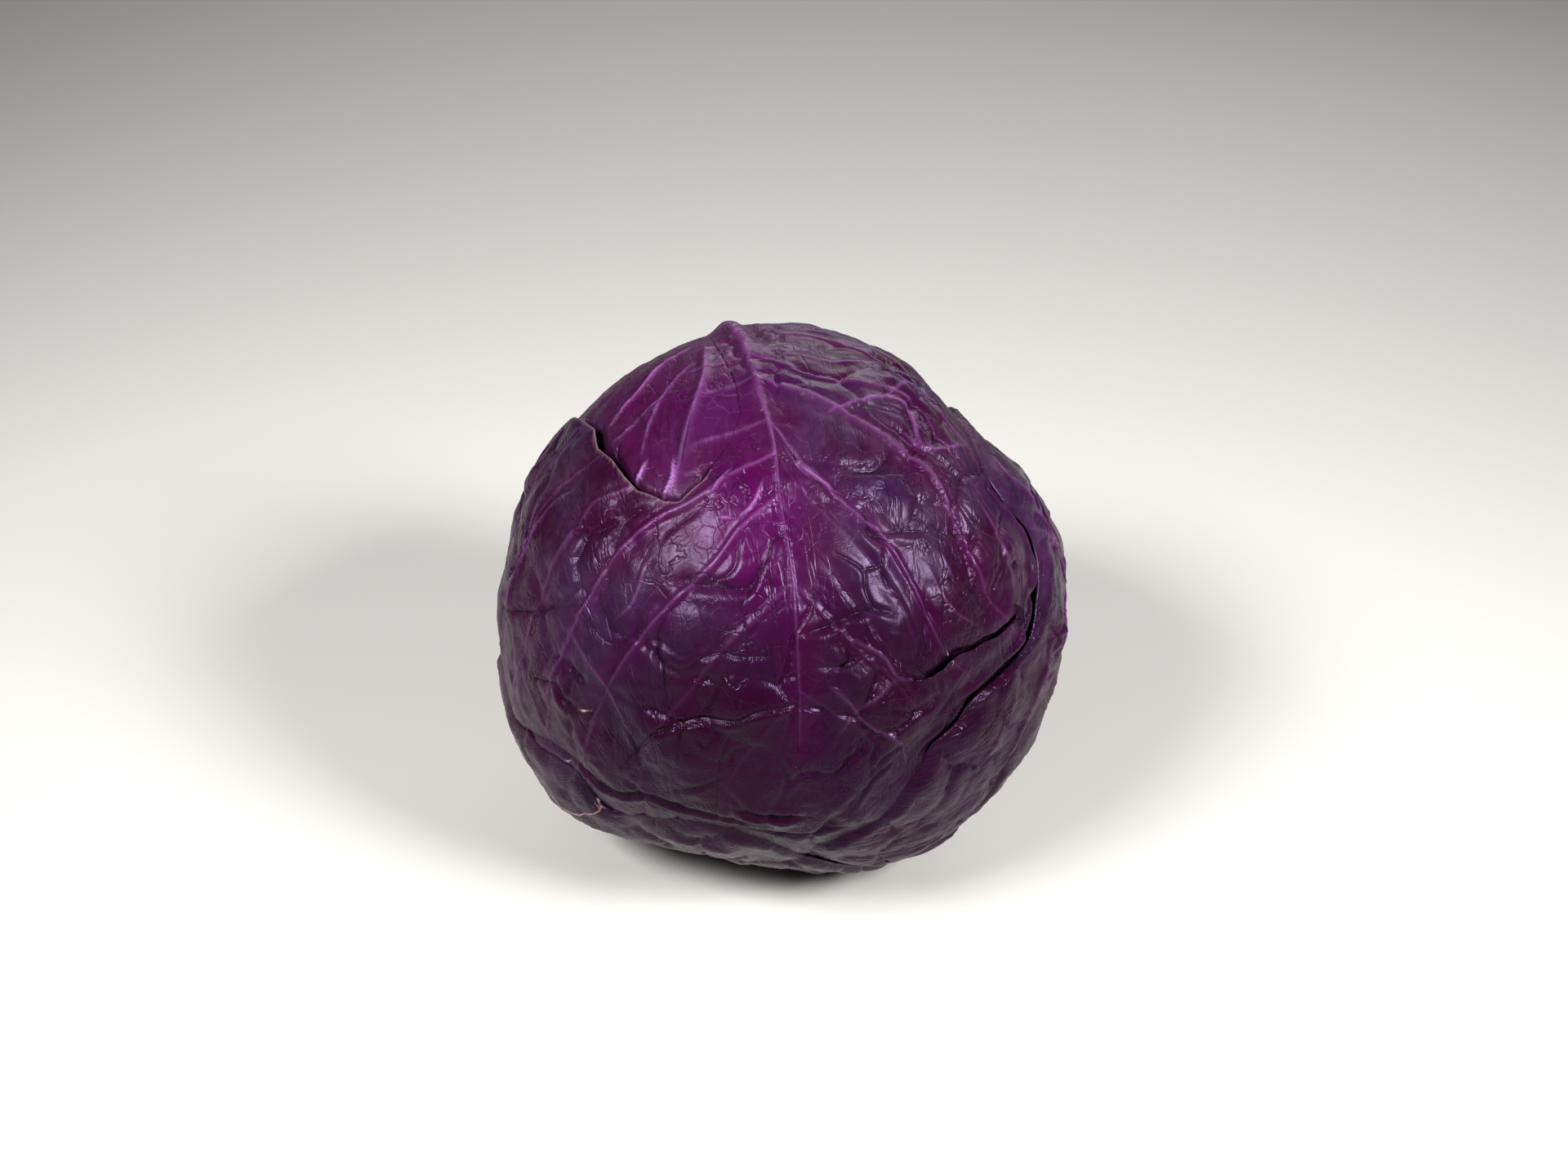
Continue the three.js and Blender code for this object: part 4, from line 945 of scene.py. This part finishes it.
def build_leaf(leaf, above):
    in_front = leaf["name"] == "leaf_front"
    quads, corners = leaf_grid(leaf)
    flat, (relief, pale, inset, glow) = corners[:, :2], corners[:, 2:].T
    torn, edge = np.zeros(len(flat)), inset.copy()
    for outline in CUTS.get(leaf["name"], []):
        distance = np.abs(outside_distance(outline, flat))
        torn = np.maximum(torn, 0.2 * (1 - smooth_step(0.0, 0.6, distance)) * (flat[:, 0] < -11))
        edge = np.minimum(edge, distance)

    # Each leaf lies deeper where the leaves above cover it, and its relief is pressed flat there.
    toward = leaf["pattern"].wrap(flat)
    covers = [cover_of(other, toward, -12, 14) for other in above]
    if in_front:
        split = smooth_step(14, 26, flat[:, 1]) * (1 - smooth_step(96, 112, flat[:, 1]))
        split = split * (flat[:, 0] > 20)
        covers[0] = covers[0] + (cover_of(above[0], toward, 1, 18) - covers[0]) * split
    depth = sum((cover * LEAF_STEP for cover in covers), np.zeros(len(flat)))
    depth = depth + FLOOR_GAP * min(2, len(above)) * (1 - clear_of_floor(toward))
    bare = np.prod([1 - cover for cover in covers], axis=0) if covers else np.ones(len(flat))
    bare = bare * clear_of_floor(toward)
    marks, lines = draw_marks(leaf["name"], flat, pale)
    relief = relief * bare + marks * clear_of_floor(toward)
    relief = relief - MARGIN_DROOP * (1 - smooth_step(0, 7, inset)) * bare
    relief = relief - 0.3 * (1 - smooth_step(0, 3, edge)) * bare
    painted_gap_shade, calm = np.zeros(len(flat)), np.ones(len(flat))
    if in_front:
        relief, glow, pale, painted_gap_shade, calm = front_details(flat, toward, relief, glow, pale)
        inner_side = (edge < 0.2) & (inset > 3) & (flat[:, 0] > -10.5) & (flat[:, 1] < 10)
        order = np.argsort(flat[inner_side, 1])
        leaf["inner_side"] = np.column_stack([flat[:, 1], relief - depth, pale])[inner_side][order].T

    shown = toward * (visible_radius(toward) - depth + relief)[:, None]
    rim, under, lip, strips = close_rim(quads, shown, toward)
    points = np.concatenate([shown, under, lip]) + HEAD_CENTRE
    outward = np.concatenate([toward, toward[rim], unit(lip)])
    masks = {
        "rib": pale * np.maximum(bare, 0.25),
        "fresh": np.clip(glow, 0, 1),
        "painted_shade": painted_gap_shade,
        "torn": torn,
        "loose": bare * calm * (0.15 + 0.85 * smooth_step(0.0, 6.0, edge)),
        "bloom_and_sheen_top": top_bloom_and_sheen(toward),
        "painted_lower_shade": lower_shade_share(toward),
        **lines,
    }
    masks = {name: np.concatenate([values, values[rim], values[rim]]) for name, values in masks.items()}
    # The strips under each edge get painted shade, except beside the window's inner side.
    across, down = flat[rim].T
    beside_window = in_front & (across > -12) & (across < 5) & (down < 11)
    painted_rim_shade = np.tile(np.where(beside_window, 0, 0.7), 2)
    masks["torn"][len(flat):] = 0
    masks["painted_shade"][len(flat):] = np.maximum(masks["painted_shade"][len(flat):], painted_rim_shade)
    faces = [tuple(dict.fromkeys(face)) for face in np.concatenate([quads, strips]).tolist()]
    faces = facing_out([face for face in faces if len(face) > 2], points, HEAD_CENTRE)
    drawn = np.concatenate([flat, flat[rim], flat[rim]])
    piece = make_piece(leaf["name"] + "_blade", points, faces, masks, outward, drawn)
    pucker(piece, outer_skin, **{
        "Cushion Size": 19.0, "Cushion Height": 0.8, "Crease Depth": 1.0, "Fold Width": 13.0,
        "Fold Height": 1.6, "Crumple Height": 0.4, "Seed": 40.0 * LEAVES.index(leaf),
    })
    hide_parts(leaf["name"])
    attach(piece, "root")


for index, leaf in enumerate(LEAVES):
    build_leaf(leaf, LEAVES[index + 1:])


# Inner head
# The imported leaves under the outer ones, seen through the torn window: fresher, brighter
# purple, with their own ribs. One closed skin stands for them.
INNER_GAP = 0.45
SEEN_RINGS = 70
HIDDEN_RINGS = 40
INNER_AROUND = 300
INNER_RIBS = [
    (1.5, 1.1, 0.25, [[-7, -46], [-8, -28], [-10, -20], [-15, -7], [-18, 1], [-22, 12]]),
    (0.8, 0.6, 0.85, [[-29, 0], [-31, 3], [-34, 6]]),
    (0.8, 0.6, 0.85, [[-21, 3], [-22, 8], [-25, 12], [-27, 14]]),
    (0.9, 0.9, 0.4, [[-12, -52], [-23, -42], [-29, -32], [-39, -23]]),
    (0.6, 0.7, 0.3, [[-22, -24], [-30, -18], [-38, -14]]),
    (0.6, 0.7, 0.25, [[-12, -36], [-20, -26], [-26, -14], [-30, -4]]),
    (-0.7, 0.6, 0.0, [[-13, -12], [-17, 0], [-19, 6]]),
    (-0.7, 0.7, 0.0, [[-27, -22], [-30, -18], [-33, -17]]),
    (-0.6, 0.6, 0.0, [[-36, -12], [-38, -8], [-36, -4]]),
]


def build_inner_head():
    window = front_pattern.wrap(np.array([-30.0, -30.0]))
    side = unit(np.cross(window, STEM_AXIS))
    up = np.cross(side, window)
    angles = np.radians(np.concatenate([
        np.linspace(0, 48, SEEN_RINGS, endpoint=False)[1:], np.linspace(48, 180, HIDDEN_RINGS)[:-1]]))
    around = np.linspace(0, 2 * np.pi, INNER_AROUND, endpoint=False)
    ring = np.cos(around)[:, None] * side + np.sin(around)[:, None] * up
    toward = np.cos(angles)[:, None, None] * window + np.sin(angles)[:, None, None] * ring
    toward = np.vstack([window, toward.reshape(-1, 3), -window])
    depth = INNER_GAP + FLOOR_GAP * 2 * (1 - clear_of_floor(toward))
    for leaf in LEAVES:
        depth = depth + LEAF_STEP * cover_of(leaf, toward, 14, 40)
    from_stem = np.degrees(np.arccos(np.clip(toward @ STEM_AXIS, -1, 1)))
    socket = 16 * (1 - smooth_step(9.0, 10.5, from_stem))
    flat = front_pattern.lay_flat(toward)
    inside = -outside_distance(WINDOW, flat)
    open_share = smooth_step(-0.5, 2.5, inside) * (1 - cover_of(LEAVES[0], toward, 2, 14))
    depth = depth + (0.9 - depth) * open_share
    # Toward the midrib the skin rises to the front leaf and runs on into it.
    side_y, side_level, side_pale = LEAVES[1]["inner_side"]
    line = curve_through(WINDOW_INNER_SIDE)(np.linspace(0, 1, 60))
    away = np.linalg.norm(flat - nearest_on(line, flat), axis=1)
    level = np.interp(flat[:, 1], side_y, side_level)
    joined = np.where(inside > 0, 1 - smooth_step(0, 13, away), 1 - smooth_step(0, 2.5, away)) * (away < 13)
    joined = joined * (flat[:, 1] < 9)
    depth = depth * (1 - joined) - (level - 0.15) * joined
    height, pale = np.zeros(len(toward)), np.zeros(len(toward))
    for rise, width, paleness, line in INNER_RIBS:
        near, distance, side, ends = stroke(line, flat, 4 * width)
        ridge = np.exp(-((distance / width) ** 2)) * ends * open_share[near]
        height[near] += rise * ridge
        pale[near] = np.maximum(pale[near], paleness * ridge)
    pale = np.maximum(pale, joined**3 * np.interp(flat[:, 1], side_y, side_pale))
    # Outside the window, under the edges of the leaves over it, the skin gets painted shade.
    painted_gap_shade = (1 - smooth_step(-1, 2.0, inside)) * smooth_step(3, 9, away)
    points = toward * (visible_radius(toward) - depth - socket + height)[:, None] + HEAD_CENTRE
    rings = len(angles)
    table = 1 + np.arange(rings * INNER_AROUND).reshape(rings, INNER_AROUND)
    beside = np.roll(table, -1, axis=1)
    quads = np.stack([table[:-1], table[1:], beside[1:], beside[:-1]], -1).reshape(-1, 4)
    end = len(points) - 1
    faces = [tuple(face) for face in quads.tolist()]
    faces += [(0, int(a), int(b)) for a, b in zip(table[0], beside[0])]
    faces += [(end, int(b), int(a)) for a, b in zip(table[-1], beside[-1])]
    faces = facing_out(faces, points, HEAD_CENTRE)
    zero = np.zeros(len(points))
    fresh = 0.6 * np.maximum(smooth_step(-4, 12, inside), joined)
    vein, vein_pale = nearest_line(flat, [rib[2:] for rib in INNER_RIBS if rib[0] > 0])
    line, fold = nearest_line(flat, [(0.8, rib[3]) for rib in INNER_RIBS if rib[0] < 0])
    masks = {
        "rib": pale,
        "fresh": fresh,
        "painted_shade": painted_gap_shade,
        "torn": zero,
        "loose": 0.7 * open_share * (1 - joined),
        "bloom_and_sheen_top": top_bloom_and_sheen(toward),
        "painted_lower_shade": zero,
        "vein": vein,
        "vein_pale": vein_pale * open_share,
        "line": line,
        "fold": fold * open_share,
        "tear": zero + 9,
        "tear_pale": zero,
    }
    piece = make_piece("inner_head_leaves", points, faces, masks, toward, flat)
    pucker(piece, inner_skin, **{
        "Cushion Size": 24.0, "Cushion Height": 0.5, "Crease Depth": 0.4, "Fold Width": 14.0,
        "Fold Height": 0.4, "Crumple Height": 0.4, "Seed": 7.0,
    })
    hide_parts("inner_head")
    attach(piece, "root")


build_inner_head()


# Stem
# The stump of the stalk, cut across with a knife: pale, fibrous and a little woody, with the
# scars of shed leaves round its side.
STEM_RADIUS = 14.2
STEM_START = 62.0
STEM_END = 89.0
STEM_BEVEL = 1.2
CUT_HOLLOW = 1.0


def stalk_material():
    material = bpy.data.materials.new("cut_stalk")
    material.use_nodes = True
    material.node_tree.nodes.clear()
    add = lambda *what, **settings: add_node(material.node_tree, *what, **settings)
    place = add("ShaderNodeTexCoord", output="Object")
    fibres = add(NOISE, {"Vector": place, "Scale": 700.0, "Detail": 4.0})
    blotches = add(NOISE, {"Vector": place, "Scale": 120.0, "Detail": 4.0})
    shade = add("ShaderNodeAttribute", output="Fac", attribute_name="shade")
    colour = linear("#b79d84")
    for share, paint in ((blotches, "#dccab0"), (shade, "#7d5a68")):
        colour = add("ShaderNodeMix", {0: share, 6: colour, 7: linear(paint)}, 2, data_type="RGBA")
    stalk = add("ShaderNodeBsdfPrincipled", {
        "Base Color": colour,
        "Roughness": 0.75,
        "Normal": add("ShaderNodeBump", {"Height": fibres, "Strength": 0.4, "Distance": 0.0006}),
        "IOR": 1.45,
    })
    add("ShaderNodeOutputMaterial", {"Surface": stalk})
    return material


def build_stem():
    around = np.linspace(0, 2 * np.pi, 120, endpoint=False)
    levels = np.concatenate([np.linspace(STEM_START, STEM_END - STEM_BEVEL, 40),
                             STEM_END - STEM_BEVEL * np.cos(np.linspace(0.2, 1.57, 6))])
    bevel = np.concatenate([np.zeros(40), STEM_BEVEL * (1 - np.sin(np.linspace(1.37, 0, 6)))])
    angle, level = np.meshgrid(around, levels)
    scars = 0.35 * np.cos(5 * angle + 0.35) * smooth_step(74, 84, level)
    radius = STEM_RADIUS - 0.9 * smooth_step(78, STEM_END, level) + scars - bevel[:, None]
    face_rings = np.linspace(0.92, 0.04, 14)
    hollow = STEM_END - CUT_HOLLOW * (1 - face_rings**2)
    radius = np.concatenate([radius, radius[-1] * face_rings[:, None]])
    level = np.concatenate([level, np.repeat(hollow[:, None], len(around), axis=1)])
    angle = np.concatenate([angle, np.repeat(around[None], len(face_rings), axis=0)])
    side = np.cos(angle)[..., None] * ROUND_ZERO + np.sin(angle)[..., None] * ROUND_QUARTER
    points = (level[..., None] * STEM_AXIS + radius[..., None] * side).reshape(-1, 3)
    points = np.vstack([points, STEM_AXIS * (STEM_END - CUT_HOLLOW)]) + HEAD_CENTRE
    table = np.arange(len(points) - 1).reshape(radius.shape)
    beside = np.roll(table, -1, axis=1)
    quads = np.stack([table[:-1], beside[:-1], beside[1:], table[1:]], -1).reshape(-1, 4)
    faces = [tuple(face) for face in quads.tolist()]
    faces += [(int(a), int(b), len(points) - 1) for a, b in zip(table[-1], beside[-1])]
    faces.append(tuple(int(i) for i in table[0][::-1]))
    faces = facing_out(faces, points, HEAD_CENTRE + STEM_AXIS * STEM_START)
    mesh = bpy.data.meshes.new("stem_stump")
    mesh.from_pydata((points * MM).tolist(), [], faces)
    shade = np.clip(smooth_step(0.93, 1.0, radius / STEM_RADIUS).ravel(), 0, 1)
    shade = np.append(shade, 0.2).astype(np.float32)
    mesh.attributes.new("shade", "FLOAT", "POINT").data.foreach_set("value", shade)
    mesh.materials.append(stalk_material())
    mesh.shade_smooth()
    piece = bpy.data.objects.new("stem_stump", mesh)
    bpy.context.scene.collection.objects.link(piece)
    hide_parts("stem")
    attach(piece, "root")


build_stem()


# Floor, light and camera
# A plain pale floor under soft studio light: two windows of light in front give the broad
# shine beside the midrib, a wall of light behind lights the edges, and the rest is dim.
def build_studio():
    mesh = bpy.data.meshes.new("pale_floor")
    mesh.from_pydata([(-4, -4, 0), (4, -4, 0), (4, 4, 0), (-4, 4, 0)], [], [(0, 1, 2, 3)])
    floor = bpy.data.objects.new("pale_floor", mesh)
    bpy.context.scene.collection.objects.link(floor)
    paper = bpy.data.materials.new("pale_paper")
    paper.use_nodes = True
    paper.node_tree.nodes["Principled BSDF"].inputs["Base Color"].default_value = linear("#b9b7b3")
    paper.node_tree.nodes["Principled BSDF"].inputs["Roughness"].default_value = 0.9
    mesh.materials.append(paper)

    world = bpy.data.worlds.new("pale_room")
    world.use_nodes = True
    world.node_tree.nodes["Background"].inputs["Color"].default_value = linear("#f4f5f8")
    world.node_tree.nodes["Background"].inputs["Strength"].default_value = 0.1
    bpy.context.scene.world = world

    # Each light: azimuth, elevation, distance, width and height in metres, watts, spread.
    centre = Vector(HEAD_CENTRE * MM)
    for name, azimuth, elevation, distance, width, height, power, spread in (
        ("window_left", -137, 43, 1.2, 0.56, 0.28, 3.7, 75),
        ("window_right", -38, 36, 1.2, 0.38, 0.32, 3.9, 75),
        ("back_wall", 68, 27, 1.5, 1.9, 0.6, 3.9, 110),
        ("left_side", 178, 30, 1.3, 0.5, 0.8, 0.25, 110),
    ):
        lamp = bpy.data.lights.new(name, "AREA")
        lamp.shape = "RECTANGLE"
        lamp.size = width
        lamp.size_y = height
        lamp.energy = power
        lamp.spread = math.radians(spread)
        holder = bpy.data.objects.new(name, lamp)
        holder.location = centre + Vector(direction(azimuth, elevation)) * distance
        holder.rotation_euler = (centre - holder.location).to_track_quat("-Z", "Y").to_euler()
        bpy.context.scene.collection.objects.link(holder)

    # The camera looks down on the head from the front; the head's middle falls a little left
    # of and below the picture's middle, at pixel 954, 735 of 1920 by 1439.
    view_from = FRONT
    distance = 657.0
    pixels_across = 1920
    lens, sensor = 50.0, 36.0
    pixel = distance * sensor / lens / pixels_across
    right = np.array([1.0, 0.0, 0.0])
    up = np.cross(view_from, right)
    place = HEAD_CENTRE + view_from * distance + right * 6.0 * pixel + up * 15.5 * pixel
    camera_data = bpy.data.cameras.new("photo_camera")
    camera_data.lens = lens
    camera_data.sensor_width = sensor
    camera = bpy.data.objects.new("photo_camera", camera_data)
    camera.location = Vector(place * MM)
    camera.rotation_euler = Vector(-view_from).to_track_quat("-Z", "Y").to_euler()
    bpy.context.scene.collection.objects.link(camera)
    bpy.context.scene.camera = camera
    bpy.context.scene.view_settings.view_transform = "Standard"
    bpy.context.scene.view_settings.look = "Medium High Contrast"


build_studio()
